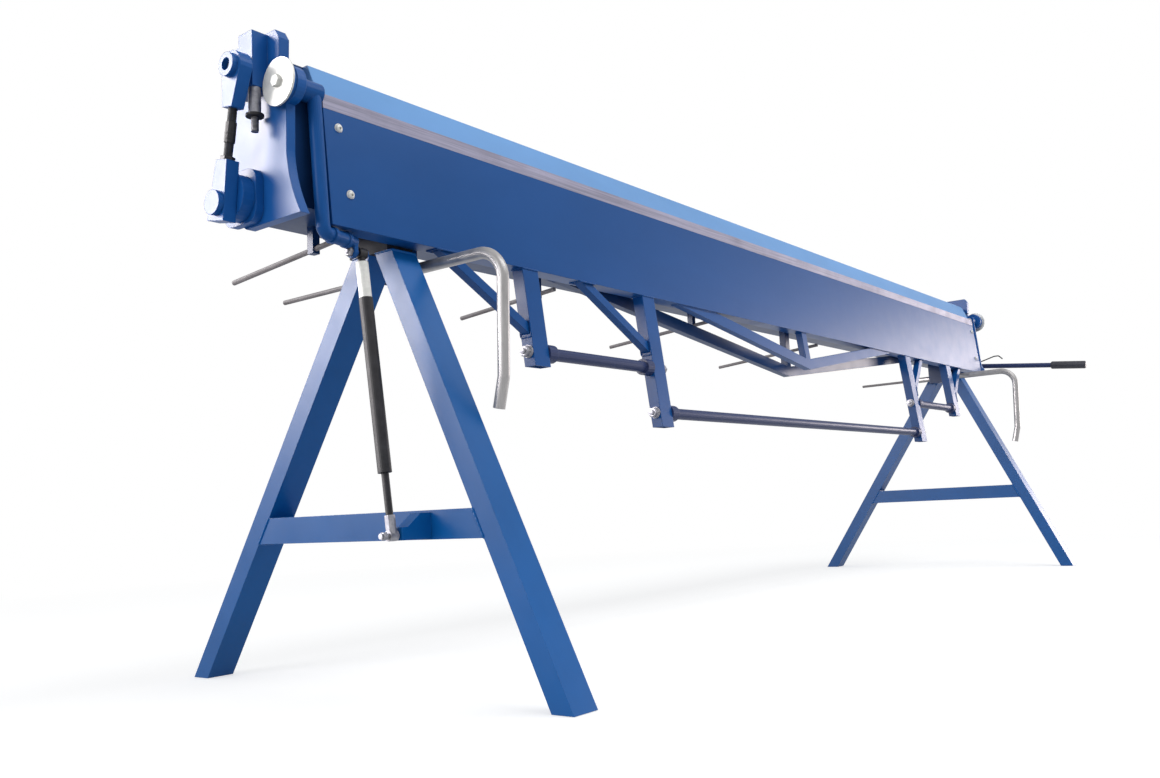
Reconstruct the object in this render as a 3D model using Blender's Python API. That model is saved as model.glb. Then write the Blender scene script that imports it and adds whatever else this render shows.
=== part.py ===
"""Sheet metal brake on two trestles.

Metres, +Z up, z = 0 on the floor. +X runs along the machine to the lever end, -Y is the operators' side.
Near pieces are at -X and far pieces at +X. Sizes are set out from the bend line, the table and the floor.
"""

import math

import bmesh
import bpy
from mathutils import Matrix, Vector

NEAR = -1
FAR = 1
ENDS = (NEAR, FAR)
SIDES = (("near", NEAR), ("far", FAR))

# Clearances and overlaps
GAP = 0.0003
CUT_OVERRUN = 0.004
WELD_DEPTH = 0.001

# Facets
ROUND_SIDES = 24
SMALL_SIDES = 12
HEX_SIDES = 6
ARC_STEPS = 12
BEND_STEPS = 6
SMOOTH_DEGREES = 35

# Bend line and table
LEAF_HALF = 1.732
TABLE_HEIGHT = 1.032
HINGE_FORWARD = 0.135
HINGE_Y = -HINGE_FORWARD

# Lower beam and its table rail
RAIL_THICKNESS = 0.012
RAIL_OVERHANG = 0.008
BEAM_HEIGHT = 0.1847
BEAM_DEPTH = 0.142
BEAM_WALL = 0.005
BEAM_SETBACK = 0.015
BEAM_TOP = TABLE_HEIGHT - RAIL_THICKNESS - GAP
BEAM_BOTTOM = BEAM_TOP - BEAM_HEIGHT
BEAM_FRONT = HINGE_Y + BEAM_SETBACK
BEAM_BACK = BEAM_FRONT + BEAM_DEPTH

# Truss bars under the beam and under the leaf
TRUSS_BAR_HEIGHT = 0.030
TRUSS_BAR_DEPTH = 0.020
TRUSS_SHIFT = 0.035
BEAM_TRUSS_REACH_SHARE = 0.7448
BEAM_TRUSS_REACH = LEAF_HALF * BEAM_TRUSS_REACH_SHARE
BEAM_TRUSS_DROP = 0.161
BEAM_TRUSS_SETBACK = 0.023
BEAM_POST_WIDTH = 0.024
LEAF_TRUSS_REACH_SHARE = 0.4042
LEAF_TRUSS_REACH = LEAF_HALF * LEAF_TRUSS_REACH_SHARE
LEAF_TRUSS_DROP = 0.113
LEAF_POST_WIDTH = 0.030

# Bending leaf
BLADE_HEIGHT = 0.0247
LEAF_SETBACK = 0.009
LEAF_TOP_DEPTH = 0.021
LEAF_BOTTOM_DEPTH = 0.040
LEAF_HEIGHT = 0.207
LEAF_WALL = 0.005
LEAF_TOP = TABLE_HEIGHT - BLADE_HEIGHT - GAP
LEAF_BOTTOM = LEAF_TOP - LEAF_HEIGHT
LEAF_BACK = HINGE_Y + LEAF_SETBACK

# Handle brackets under the leaf, which lean forwards as they go down
LEAN_SHARE = 0.118
BRACKET_WIDTH = 0.048
BRACKET_DEPTH = 0.028
BRACKET_WALL = 0.003
NEAR_OUTER_INSET = 0.504
FAR_OUTER_INSET = 0.427
OUTER_BRACKET_LENGTH = 0.203
NEAR_INNER_SHARE = 0.4619
FAR_INNER_SHARE = 0.5035
INNER_BRACKET_LENGTH = 0.313
BRACE_WIDTH = 0.020
BRACE_DROP = 0.127
NEAR_BRACE_REACH = 0.235
FAR_BRACE_REACH = 0.150

# Grip bars between the brackets
GRIP_RADIUS = 0.013
COLLAR_RADIUS = 0.019
COLLAR_LENGTH = 0.026
OUTER_GRIP_DROP = 0.173
CENTRE_GRIP_DROP = 0.279

# Lower end plates
ARM_SPACE = 0.048
PLATE_THICKNESS = 0.018
PLATE_IN = LEAF_HALF + ARM_SPACE
PLATE_OUT = PLATE_IN + PLATE_THICKNESS
PLATE_TOP_DROP = 0.002
PLATE_BELOW_BEAM = 0.027
PLATE_BEHIND_BEAM = 0.008
PLATE_FOOT_FORWARD = 0.033
PLATE_WAIST_SETBACK = 0.002
PLATE_WAIST_SHARE = 0.55
PLATE_CORNER_WIDTH = 0.050
PLATE_CORNER_HEIGHT = 0.037
HINGE_HEAD_RADIUS = 0.032

# Leaf hinge at each end
HINGE_PIN_RADIUS = 0.010
BARREL_RADIUS = 0.0185
BOSS_RADIUS = 0.030
BOSS_PROUD = 0.012
BOSS_OUT = PLATE_OUT + BOSS_PROUD
DISC_RADIUS = 0.041
DISC_THICKNESS = 0.004
DISC_BOLT_ACROSS = 0.019
DISC_BOLT_HEIGHT = 0.0075
DISC_OUT = BOSS_OUT + GAP + DISC_THICKNESS

# Round leaf end arms, and the near arm's elbow with the strut's top pivot
ARM_RADIUS = 0.012
ARM_X = LEAF_HALF + GAP + ARM_RADIUS
ARM_TOP_FORWARD = 0.0045
ARM_TOP_DROP = 0.008
ARM_FOOT_FORWARD = 0.022
STUB_DROP = 0.0152
STUB_FORWARD = 0.006
ELBOW_RADIUS = 0.013
BUSHING_START = 0.018
BUSHING_FROM_LUG = 0.009
BUSHING_RADIUS = 0.0146
BUSHING_NECK_RADIUS = 0.0128
BUSHING_RIM = 0.007
LUG_RADIUS = 0.011
LUG_THICKNESS = 0.008
LUG_APART = 0.0065
STUD_RADIUS = 0.005
STUD_HEAD_RADIUS = 0.008
STUD_HEAD_THICKNESS = 0.003

# Gas strut
STRUT_INSET = 0.080
STRUT_X = -(LEAF_HALF - STRUT_INSET)
STRUT_TOP_BELOW_LEAF = 0.0327
STRUT_TOP_FORWARD = 0.0152
STRUT_FOOT_FORWARD = 0.2004
STRUT_FOOT_ABOVE = 0.0105
STRUT_EYE_RADIUS = 0.010
STRUT_EYE_WIDTH = 0.016
STRUT_EYE_CLEAR = 0.0005
STRUT_NECK_RADIUS = 0.006
STRUT_TUBE_RADIUS = 0.012
STRUT_UPPER_RADIUS = 0.0093
STRUT_BORE_RADIUS = 0.0078
STRUT_CROWN = 0.012
STRUT_GLAND = 0.005
STRUT_TUBE_START = 0.015
STRUT_TUBE_LENGTH = 0.370
STRUT_SHROUD_LENGTH = 0.064
STRUT_SHROUD_WALL = 0.0014
STRUT_ROD_RADIUS = 0.0064
STRUT_PISTON_LENGTH = 0.006
STRUT_PISTON_CLEAR = 0.001
STRUT_FORK_LENGTH = 0.034
STRUT_FORK_RADIUS = 0.009
STRUT_FORK_WIDTH = 0.018
STRUT_STUD_LENGTH = 0.025
STRUT_NUT_ACROSS = 0.013
STRUT_NUT_HEIGHT = 0.007
STRUT_NUT_INSET = 0.004

# Torsion shaft, bearing blocks and cranks
SHAFT_BEHIND_FACE = 0.092
SHAFT_ABOVE_BOTTOM = 0.021
SHAFT_RADIUS = 0.014
SHAFT_BORE = SHAFT_RADIUS + GAP
BEARING_THICKNESS = 0.0147
BEARING_DEPTH = 0.090
BEARING_HEIGHT = 0.093
BEARING_CORNER = 0.022
BEARING_FORWARD = 0.042
BEARING_BELOW = 0.044
BEARING_OUT = PLATE_OUT + GAP + BEARING_THICKNESS
CRANK_RADIUS = 0.040
CRANK_THICKNESS = 0.022
CRANK_THROW = 0.016
CRANK_PIN_RADIUS = 0.0085
CRANK_CAP_RADIUS = 0.021
CRANK_CAP_THICKNESS = 0.0097
CRANK_OUT = BEARING_OUT + GAP + CRANK_THICKNESS

# Links between the cranks and the clamp
LINK_THICKNESS = 0.024
LINK_IN = CRANK_OUT + GAP
LINK_OUT = LINK_IN + LINK_THICKNESS
CAP_OUT = LINK_OUT + GAP + CRANK_CAP_THICKNESS
LINK_PIN_RADIUS = 0.010
LINK_PIN_CLEAR = 0.0005
UPPER_EYE_RADIUS = 0.026
UPPER_EYE_TAIL = 0.068
UPPER_EYE_TAIL_WIDTH = 0.027
UPPER_BOSS_RADIUS = 0.020
UPPER_BOSS_PROUD = 0.010
LOWER_EYE_BORE = 0.0175
LOWER_EYE_NECK = 0.073
LOWER_EYE_NECK_WIDTH = 0.031
LOWER_EYE_FOOT = 0.029
LOWER_EYE_FOOT_WIDTH = 0.046
THREAD_RADIUS = 0.007
LINK_SLEEVE_RADIUS = 0.009
LINK_SLEEVE_LENGTH = 0.034
LINK_SLEEVE_START = 0.0915
LOCK_NUT_ACROSS = 0.018
LOCK_NUT_HEIGHT = 0.007
THREAD_APART = 0.004
SLEEVE_MIDDLE = LINK_SLEEVE_START + LINK_SLEEVE_LENGTH / 2

# Clamp beam, its nose and its end plates
THROAT = 0.015
CLAMP_BEAM_HEIGHT = 0.047
CLAMP_BEAM_DEPTH = 0.0977
CLAMP_BEAM_WALL = 0.004
CLAMP_BEAM_SETBACK = 0.0403
CLAMP_BEAM_FRONT = HINGE_Y + CLAMP_BEAM_SETBACK
CLAMP_BEAM_BACK = CLAMP_BEAM_FRONT + CLAMP_BEAM_DEPTH
CLAMP_BEAM_BOTTOM = TABLE_HEIGHT + THROAT
CLAMP_BEAM_TOP = CLAMP_BEAM_BOTTOM + CLAMP_BEAM_HEIGHT
NOSE_SETBACK = 0.0005
NOSE_FOOT = 0.0165
NOSE_TOP_DEPTH = 0.012
CLAMP_PLATE_INSET = 0.003
CLAMP_PLATE_IN = PLATE_IN - CLAMP_PLATE_INSET
CLAMP_PLATE_DEPTH = 0.121
CLAMP_PLATE_HEIGHT = 0.090
CLAMP_PLATE_CLEAR = 0.014
CLAMP_PLATE_SHARES = ((0, 0), (0.835, 0), (0.835, 0.244), (0.983, 0.289), (1, 0.822), (0.917, 1), (0, 1))
PIVOT_BEHIND_HINGE = 0.063
PIVOT_ABOVE_TABLE = 0.032
ANCHOR_THICKNESS = 0.030
ANCHOR_OUT = PLATE_OUT + ANCHOR_THICKNESS
ANCHOR_FORWARD = 0.014
ANCHOR_BACKWARD = 0.024
ANCHOR_BELOW = 0.027
ANCHOR_ABOVE = 0.069

# Guide pins between the table and the clamp beam
GUIDE_PIN_INSET = 0.132
GUIDE_PIN_X = LEAF_HALF - GUIDE_PIN_INSET
GUIDE_PIN_RADIUS = 0.008
GUIDE_PIN_CLEAR = 0.0005
GUIDE_PIN_BEHIND_HINGE = 0.095
GUIDE_PIN_REACH = 0.038

# Stop screws under the clamp's end plates
STOP_FROM_PLATE = 0.0185
STOP_FORWARD = 0.003
STOP_SLEEVE_RADIUS = 0.0105
STOP_SLEEVE_LENGTH = 0.046
STOP_FLANGE_RADIUS = 0.015
STOP_FLANGE_THICKNESS = 0.004
STOP_STUD_RADIUS = 0.006
STOP_STUD_LENGTH = 0.026

# Clamp lever
HUB_RADIUS = 0.022
HUB_LENGTH = 0.024
LEVER_RADIUS = 0.010
LEVER_DEGREES = 6
LEVER_LENGTH = 0.522
LEVER_GRIP_RADIUS = 0.016
LEVER_GRIP_LENGTH = 0.137
LEVER_GRIP_CAP = 0.010
LEVER_GRIP_ROUND = 0.004
LEVER_IN = CAP_OUT + GAP
LEVER_X = LEVER_IN + HUB_LENGTH / 2

# Hook beside the lever
HOOK_WIRE_RADIUS = 0.0025
HOOK_EYE_RADIUS = 0.006
HOOK_EYE_LENGTH = 0.0075
HOOK_ABOVE_BOTTOM = 0.017
HOOK_LENGTH = 0.118
HOOK_RISE = 0.021
HOOK_BEND_RADIUS = 0.010
HOOK_SHARES = ((0, 0), (0.25, 0.24), (0.72, 1), (0.87, 1), (1, 0.29))

# Trestles
TRESTLE_INSET = 0.188
TRESTLE_X = LEAF_HALF - TRESTLE_INSET
TUBE_WIDTH = 0.060
TUBE_DEPTH = 0.040
TUBE_WALL = 0.003
FOOT_REACH = 0.505
FRONT_TOP_FORWARD = 0.133
BACK_TOP_FORWARD = 0.026
SADDLE_HEIGHT = 0.0444
SADDLE_OVERHANG = 0.001
SADDLE_BEHIND_LEAF = 0.003
SADDLE_BACK_REACH = 0.006
SADDLE_TOP = BEAM_BOTTOM - GAP
SADDLE_BOTTOM = SADDLE_TOP - SADDLE_HEIGHT
TRESTLE_TOP = SADDLE_BOTTOM - GAP
CROSSBAR_DROP = 0.762
CROSSBAR_HEIGHT = TABLE_HEIGHT - CROSSBAR_DROP
CROSSBAR_DEPTH = 0.050

# Strut bracket on the near crossbar
STRUT_BRACKET_THICKNESS = 0.025
STRUT_BRACKET_BELOW = 0.002
STRUT_BRACKET_HEIGHT = 0.044
STRUT_BRACKET_STEP = 0.022
STRUT_BRACKET_CLEAR = 0.0125
STRUT_BRACKET_STEP_SHARES = (0.36, 0.81)

# Sliding support rods at the back
SUPPORT_ROD_RADIUS = 0.005
SUPPORT_ROD_DROP = 0.043
SUPPORT_ROD_START = 0.080
SUPPORT_ROD_FALL_SHARE = 0.079
SUPPORT_ROD_PLACE_SHARES = (-0.9607, -0.6028, -0.2211, 0.1749)
SUPPORT_ROD_PLACES = [LEAF_HALF * share for share in SUPPORT_ROD_PLACE_SHARES]
SUPPORT_ROD_TIPS = (0.2155, 0.210, 0.2525, 0.288)
GUIDE_WIDTH = 0.015
GUIDE_DEPTH = 0.016
GUIDE_BELOW_ROD = 0.008
GUIDE_BACK = -0.020
GUIDE_ENDS = (GUIDE_BACK - GUIDE_DEPTH, GUIDE_BACK)

# Bent tube handles beside the trestles
HANDLE_CLEAR = 0.029
HANDLE_X = TRESTLE_X - TUBE_WIDTH / 2 - HANDLE_CLEAR
HANDLE_RADIUS = 0.011
HANDLE_BORE_RADIUS = 0.009
HANDLE_BORE_DEPTH = 0.030
HANDLE_DROP = 0.063
HANDLE_BACK = 0.020
NEAR_HANDLE_FORWARD = 0.322
FAR_HANDLE_FORWARD = 0.368
HANDLE_BEND = 0.055
HANDLE_LENGTH = 0.282
HANDLE_KINK_LENGTH = 0.055
HANDLE_KINK_BACK = 0.010
HANDLE_TIP_BACK = 0.024
HANDLE_KINK_BEND = 0.030
TAIL_RADIUS = 0.005
TAIL_REACHES = (0.300, 0.265)
HANDLE_BLOCK_WIDTH = 0.030
HANDLE_BLOCK_DEPTH = 0.060
HANDLE_BLOCK_BELOW = 0.020
HANDLE_BLOCK_FORWARD = 0.090
HANDLE_BLOCK_ENDS = (-HANDLE_BLOCK_FORWARD, HANDLE_BLOCK_DEPTH - HANDLE_BLOCK_FORWARD)

# Lines that several pieces share
HINGE_POINT = Vector((0, HINGE_Y, TABLE_HEIGHT))
SHAFT_POINT = Vector((0, BEAM_FRONT + SHAFT_BEHIND_FACE, BEAM_BOTTOM + SHAFT_ABOVE_BOTTOM))
PIVOT_POINT = Vector((0, HINGE_Y + PIVOT_BEHIND_HINGE, TABLE_HEIGHT + PIVOT_ABOVE_TABLE))
CRANK_POINT = SHAFT_POINT - Vector((0, 0, CRANK_THROW))
LINK_LENGTH = (CRANK_POINT - PIVOT_POINT).length
LINK_DOWN = (CRANK_POINT - PIVOT_POINT).normalized()
LINK_ACROSS = Vector((0, -LINK_DOWN.z, LINK_DOWN.y))
STRUT_TOP = Vector((STRUT_X, LEAF_BACK - STRUT_TOP_FORWARD, LEAF_BOTTOM - STRUT_TOP_BELOW_LEAF))
STRUT_FOOT = Vector((STRUT_X, -STRUT_FOOT_FORWARD, CROSSBAR_HEIGHT + STRUT_FOOT_ABOVE))
STRUT_LENGTH = (STRUT_FOOT - STRUT_TOP).length
STRUT_DOWN = (STRUT_FOOT - STRUT_TOP).normalized()
LEVER_ANGLE = math.radians(LEVER_DEGREES)
LEVER_OUT = Vector((0, -math.cos(LEVER_ANGLE), -math.sin(LEVER_ANGLE)))
SUPPORT_ROD_Z = BEAM_BOTTOM - SUPPORT_ROD_DROP
HANDLE_Z = BEAM_BOTTOM - HANDLE_DROP
HOOK_POINT = Vector((PLATE_OUT + GAP, BEAM_FRONT, BEAM_BOTTOM + HOOK_ABOVE_BOTTOM))

# Overall size, which sets the frame's origin midway and on the floor
FAR_REACH = LEVER_X + LEVER_GRIP_RADIUS
NEAR_REACH = LINK_OUT + UPPER_BOSS_PROUD
LEVER_TIP = SHAFT_POINT + LEVER_OUT * LEVER_LENGTH
FRONT_REACH = -(LEVER_TIP.y - (LEVER_GRIP_RADIUS - LEVER_GRIP_ROUND) * math.sin(LEVER_ANGLE))
CENTRE = Vector(((NEAR_REACH - FAR_REACH) / 2, (FRONT_REACH - FOOT_REACH) / 2, 0))

# Joint lines: each body's empty stands on its joint
BODY_POINTS = {
    "stand": Vector((0, 0, 0)),
    "leaf": HINGE_POINT,
    "clamp": Vector((0, CLAMP_BEAM_FRONT, TABLE_HEIGHT)),
    "clamp_shaft": SHAFT_POINT,
    "near_link": PIVOT_POINT,
    "far_link": PIVOT_POINT,
    "near_sleeve": PIVOT_POINT,
    "far_sleeve": PIVOT_POINT,
    "strut_cylinder": STRUT_TOP,
    "strut_rod": STRUT_TOP,
    "near_handle": Vector((-HANDLE_X, 0, HANDLE_Z)),
    "far_handle": Vector((HANDLE_X, 0, HANDLE_Z)),
    "support_rod_1": Vector((SUPPORT_ROD_PLACES[0], 0, SUPPORT_ROD_Z)),
    "support_rod_2": Vector((SUPPORT_ROD_PLACES[1], 0, SUPPORT_ROD_Z)),
    "support_rod_3": Vector((SUPPORT_ROD_PLACES[2], 0, SUPPORT_ROD_Z)),
    "support_rod_4": Vector((SUPPORT_ROD_PLACES[3], 0, SUPPORT_ROD_Z)),
    "lever_hook": HOOK_POINT,
}

# Finishes: colour, metallic, roughness
FINISHES = {
    "blue_paint": ((0.016, 0.102, 0.352), 0.0, 0.38),
    "light_blue_paint": ((0.240, 0.460, 0.800), 0.0, 0.40),
    "bare_steel": ((0.330, 0.330, 0.380), 1.0, 0.42),
    "dark_steel": ((0.030, 0.032, 0.036), 0.8, 0.45),
    "zinc_steel": ((0.420, 0.420, 0.420), 1.0, 0.40),
    "chrome": ((0.620, 0.620, 0.640), 1.0, 0.15),
    "black_plastic": ((0.015, 0.015, 0.016), 0.0, 0.50),
}


def clear_scene():
    for item in list(bpy.data.objects):
        bpy.data.objects.remove(item, do_unlink=True)


def paint(finish):
    colour, metallic, roughness = FINISHES[finish]
    material = bpy.data.materials.get(finish) or bpy.data.materials.new(finish)
    material.use_nodes = True
    shader = material.node_tree.nodes["Principled BSDF"]
    shader.inputs["Base Color"].default_value = (*colour, 1)
    shader.inputs["Metallic"].default_value = metallic
    shader.inputs["Roughness"].default_value = roughness
    return material


def solid_from(corners, faces):
    """One closed solid from its corners and faces, with the faces turned outwards."""
    mesh = bpy.data.meshes.new("shape")
    mesh.from_pydata([tuple(corner) for corner in corners], [], faces)
    work = bmesh.new()
    work.from_mesh(mesh)
    bmesh.ops.recalc_face_normals(work, faces=work.faces)
    work.to_mesh(mesh)
    work.free()
    piece = bpy.data.objects.new("shape", mesh)
    bpy.context.scene.collection.objects.link(piece)
    return piece


def prism(loop, reach):
    """A flat loop of points carried along the vector reach."""
    count = len(loop)
    start = [Vector(point) for point in loop]
    corners = start + [point + Vector(reach) for point in start]
    faces = [(i, (i + 1) % count, (i + 1) % count + count, i + count) for i in range(count)]
    faces.append(tuple(reversed(range(count))))
    faces.append(tuple(range(count, 2 * count)))
    return solid_from(corners, faces)


def along_x(outline, x_from, x_to):
    """An outline of (y, z) points carried from one x to another."""
    return prism([(x_from, y, z) for y, z in outline], (x_to - x_from, 0, 0))


def block(x_ends, y_ends, z_ends):
    (x0, x1), (y0, y1), (z0, z1) = x_ends, y_ends, z_ends
    return along_x([(y0, z0), (y1, z0), (y1, z1), (y0, z1)], x0, x1)


def loops_joined(loops, closed):
    """Bands of faces between loops of points. A closed solid's last loop meets its first, an open one is capped."""
    count = len(loops[0])
    corners = [point for loop in loops for point in loop]
    faces = []
    bands = len(loops) if closed else len(loops) - 1
    for band in range(bands):
        low = band * count
        high = (band + 1) % len(loops) * count
        for i in range(count):
            j = (i + 1) % count
            faces.append((low + i, low + j, high + j, high + i))
    if not closed:
        faces.append(tuple(reversed(range(count))))
        faces.append(tuple(range(len(corners) - count, len(corners))))
    return solid_from(corners, faces)


def hollow_along_x(outline, wall, x_from, x_to):
    """A tube of the convex (y, z) outline with its ends open."""
    inner = inset(outline, wall)
    loops = [
        [(x_from, y, z) for y, z in outline],
        [(x_to, y, z) for y, z in outline],
        [(x_to, y, z) for y, z in inner],
        [(x_from, y, z) for y, z in inner],
    ]
    return loops_joined(loops, True)


def inset(outline, wall):
    """The convex outline moved inwards by the wall."""
    middle = Vector((sum(p[0] for p in outline), sum(p[1] for p in outline))) / len(outline)
    lines = []
    for i, point in enumerate(outline):
        here = Vector(point)
        along = (Vector(outline[(i + 1) % len(outline)]) - here).normalized()
        inwards = Vector((-along.y, along.x))
        if inwards.dot(middle - here) < 0:
            inwards = -inwards
        lines.append((here + inwards * wall, along))
    corners = []
    for i, (start, along) in enumerate(lines):
        other, other_along = lines[i - 1]
        cross = other_along.x * along.y - other_along.y * along.x
        offset = start - other
        reach = (offset.x * along.y - offset.y * along.x) / cross
        corners.append(tuple(other + other_along * reach))
    return corners


def square_axes(direction):
    """Two unit vectors square to a direction and to each other."""
    aim = Vector(direction).normalized()
    guide = Vector((1, 0, 0)) if abs(aim.x) < abs(aim.z) + abs(aim.y) else Vector((0, 0, 1))
    first = aim.cross(guide).normalized()
    return first, aim.cross(first)


def circle(centre, axes, radius, sides):
    first, second = axes
    points = []
    for i in range(sides):
        turn = 2 * math.pi * i / sides
        points.append(Vector(centre) + first * math.cos(turn) * radius + second * math.sin(turn) * radius)
    return points


def turned(profile, start, direction, sides=ROUND_SIDES, closed=False):
    """A turned piece from (distance, radius) points along a direction."""
    aim = Vector(direction).normalized()
    axes = square_axes(aim)
    return loops_joined([circle(Vector(start) + aim * d, axes, r, sides) for d, r in profile], closed)


def round_bar(start, end, radius, sides=ROUND_SIDES):
    reach = Vector(end) - Vector(start)
    return turned([(0, radius), (reach.length, radius)], start, reach, sides)


def hex_piece(start, direction, across, height):
    """A hexagon head or nut with a chamfered outer face."""
    radius = across / math.sqrt(3)
    chamfer = height / HEX_SIDES
    profile = [(0, radius), (height - chamfer, radius), (height, radius - chamfer)]
    return turned(profile, start, direction, HEX_SIDES)


def rounded_path(points, radii):
    """The points with each inner corner replaced by an arc of its own radius."""
    path = [Vector(points[0])]
    for before, corner, after, radius in zip(points, points[1:], points[2:], radii):
        corner = Vector(corner)
        back = (Vector(before) - corner).normalized()
        ahead = (Vector(after) - corner).normalized()
        half = back.angle(ahead) / 2
        middle = corner + (back + ahead).normalized() * radius / math.sin(half)
        first = corner + back * radius / math.tan(half) - middle
        last = corner + ahead * radius / math.tan(half) - middle
        sweep = math.pi - 2 * half
        for step in range(BEND_STEPS + 1):
            part = sweep * step / BEND_STEPS
            mix = first * math.sin(sweep - part) + last * math.sin(part)
            path.append(middle + mix / math.sin(sweep))
    path.append(Vector(points[-1]))
    return path


def swept(path, radius, sides, bore=None):
    """A round bar along a path. A bore of (radius, depth) opens its far end."""
    axes = square_axes(path[1] - path[0])
    loops = []
    for i, point in enumerate(path):
        before = path[max(i - 1, 0)]
        after = path[min(i + 1, len(path) - 1)]
        aim = (after - before).normalized()
        first = (axes[0] - aim * axes[0].dot(aim)).normalized()
        axes = (first, aim.cross(first))
        loops.append(circle(point, axes, radius, sides))
    if bore:
        bore_radius, depth = bore
        loops.append(circle(path[-1], axes, bore_radius, sides))
        loops.append(circle(path[-1] - aim * depth, axes, bore_radius, sides))
    return loops_joined(loops, False)


def arc(middle, radius, start_degrees, end_degrees, steps=ARC_STEPS):
    points = []
    for step in range(steps + 1):
        turn = math.radians(start_degrees + (end_degrees - start_degrees) * step / steps)
        points.append((middle[0] + radius * math.cos(turn), middle[1] + radius * math.sin(turn)))
    return points


def combined(piece, tools, operation):
    """The piece after a Boolean with each tool in turn. The tools are used up."""
    for tool in tools:
        step = piece.modifiers.new("step", "BOOLEAN")
        step.operation = operation
        step.solver = "EXACT"
        step.object = tool
    bpy.context.view_layer.update()
    evaluated = piece.evaluated_get(bpy.context.evaluated_depsgraph_get())
    mesh = bpy.data.meshes.new_from_object(evaluated)
    piece.modifiers.clear()
    piece.data = mesh
    for tool in tools:
        bpy.data.objects.remove(tool, do_unlink=True)
    return piece


def fuse(piece, *others):
    return combined(piece, others, "UNION")


def cut(piece, *cutters):
    return combined(piece, cutters, "DIFFERENCE")


def at(side, x, point):
    """A point of a line along X, at the distance x towards one end of the machine."""
    return Vector((side * x, point.y, point.z))


def lean_y(z):
    """The middle of the leaning plane that holds the brackets, grip bars and leaf truss."""
    return LEAF_BACK - LEAF_BOTTOM_DEPTH + BRACKET_DEPTH / 2 - LEAN_SHARE * (LEAF_BOTTOM - z)


def leaning(outline, depth):
    """A solid of (x, z) points that lies in the leaning plane, depth thick in Y."""
    return prism([(x, lean_y(z) - depth / 2, z) for x, z in outline], (0, depth, 0))


def frame_empties():
    """The frame's empty, and one empty for each body on its joint."""
    frame = bpy.data.objects.new("frame", None)
    frame.location = CENTRE
    bpy.context.scene.collection.objects.link(frame)
    empties = {}
    for body, point in BODY_POINTS.items():
        empty = bpy.data.objects.new(body + "_joint", None)
        empty.location = point
        empty.parent = frame
        bpy.context.scene.collection.objects.link(empty)
        empties[body] = empty
    return empties


def placer(empties):
    """A function that names a piece, paints it and hangs it on its body's empty."""
    def place(name, piece, finish, body):
        piece.name = name
        piece.data.name = name
        piece.data.transform(Matrix.Translation(-BODY_POINTS[body]))
        piece.data.materials.clear()
        piece.data.materials.append(paint(finish))
        piece.data.shade_smooth()
        piece.data.set_sharp_from_angle(angle=math.radians(SMOOTH_DEGREES))
        piece.parent = empties[body]
    return place


# Lower beam, rail and trusses

def lower_beam():
    """The box beam with the blocks welded under it that guide the support rods and hold the bent handles."""
    outline = [(BEAM_FRONT, BEAM_BOTTOM), (BEAM_BACK, BEAM_BOTTOM), (BEAM_BACK, BEAM_TOP), (BEAM_FRONT, BEAM_TOP)]
    tube = hollow_along_x(outline, BEAM_WALL, -(PLATE_IN - GAP), PLATE_IN - GAP)
    bores = []
    for x in SUPPORT_ROD_PLACES:
        tube = fuse(tube, block_under_beam(x, GUIDE_WIDTH, GUIDE_ENDS, support_rod_z(GUIDE_BACK) - GUIDE_BELOW_ROD))
        start = support_rod_point(x, GUIDE_ENDS[0] - CUT_OVERRUN)
        end = support_rod_point(x, GUIDE_ENDS[1] + CUT_OVERRUN)
        bores.append(turning_bore(start, end, SUPPORT_ROD_RADIUS + GAP))
    for side in ENDS:
        x = side * HANDLE_X
        tube = fuse(tube, block_under_beam(x, HANDLE_BLOCK_WIDTH, HANDLE_BLOCK_ENDS, HANDLE_Z - HANDLE_BLOCK_BELOW))
        start = (x, HANDLE_BLOCK_ENDS[0] - CUT_OVERRUN, HANDLE_Z)
        end = (x, HANDLE_BLOCK_ENDS[1] + CUT_OVERRUN, HANDLE_Z)
        bores.append(turning_bore(start, end, HANDLE_RADIUS + GAP))
    return cut(tube, *bores)


def block_under_beam(x, width, y_ends, bottom):
    return block((x - width / 2, x + width / 2), y_ends, (bottom, BEAM_BOTTOM + WELD_DEPTH))


def turning_bore(start, end, radius):
    """A hole whose flats, and not its corners, lie at the radius, so that a bar can turn in it."""
    return round_bar(start, end, radius / math.cos(math.pi / SMALL_SIDES), SMALL_SIDES)


def table_rail():
    """The steel strip on top of the beam, with the two pins pressed into it that guide the clamp."""
    y_ends = (HINGE_Y + GAP, BEAM_BACK + RAIL_OVERHANG)
    rail = block((-LEAF_HALF, LEAF_HALF), y_ends, (BEAM_TOP + GAP, TABLE_HEIGHT))
    pins = []
    for side in ENDS:
        tip = guide_pin_point(side) + Vector((0, 0, GUIDE_PIN_REACH))
        foot = guide_pin_point(side) - Vector((0, 0, THROAT + WELD_DEPTH))
        pins.append(round_bar(foot, tip, GUIDE_PIN_RADIUS, SMALL_SIDES))
    return fuse(rail, *pins)


def truss_outline(top, reach, drop, post):
    """A shallow V of bar with a post from its vertex up to the beam it stiffens, as (x, z) points."""
    slope = drop / reach
    lift = TRUSS_BAR_HEIGHT * math.sqrt(1 + slope * slope)
    half = post / 2
    right = [
        (0, top - drop),
        (reach, top),
        (reach - lift / slope, top),
        (half, top - drop + half * slope + lift),
        (half, top),
    ]
    both = right + [(-x, z) for x, z in reversed(right[1:])]
    return [(x + TRUSS_SHIFT, z) for x, z in both]


def beam_truss():
    top = BEAM_BOTTOM - GAP
    outline = truss_outline(top, BEAM_TRUSS_REACH, BEAM_TRUSS_DROP, BEAM_POST_WIDTH)
    front = BEAM_FRONT + BEAM_TRUSS_SETBACK - TRUSS_BAR_DEPTH / 2
    return prism([(x, front, z) for x, z in outline], (0, TRUSS_BAR_DEPTH, 0))


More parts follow.
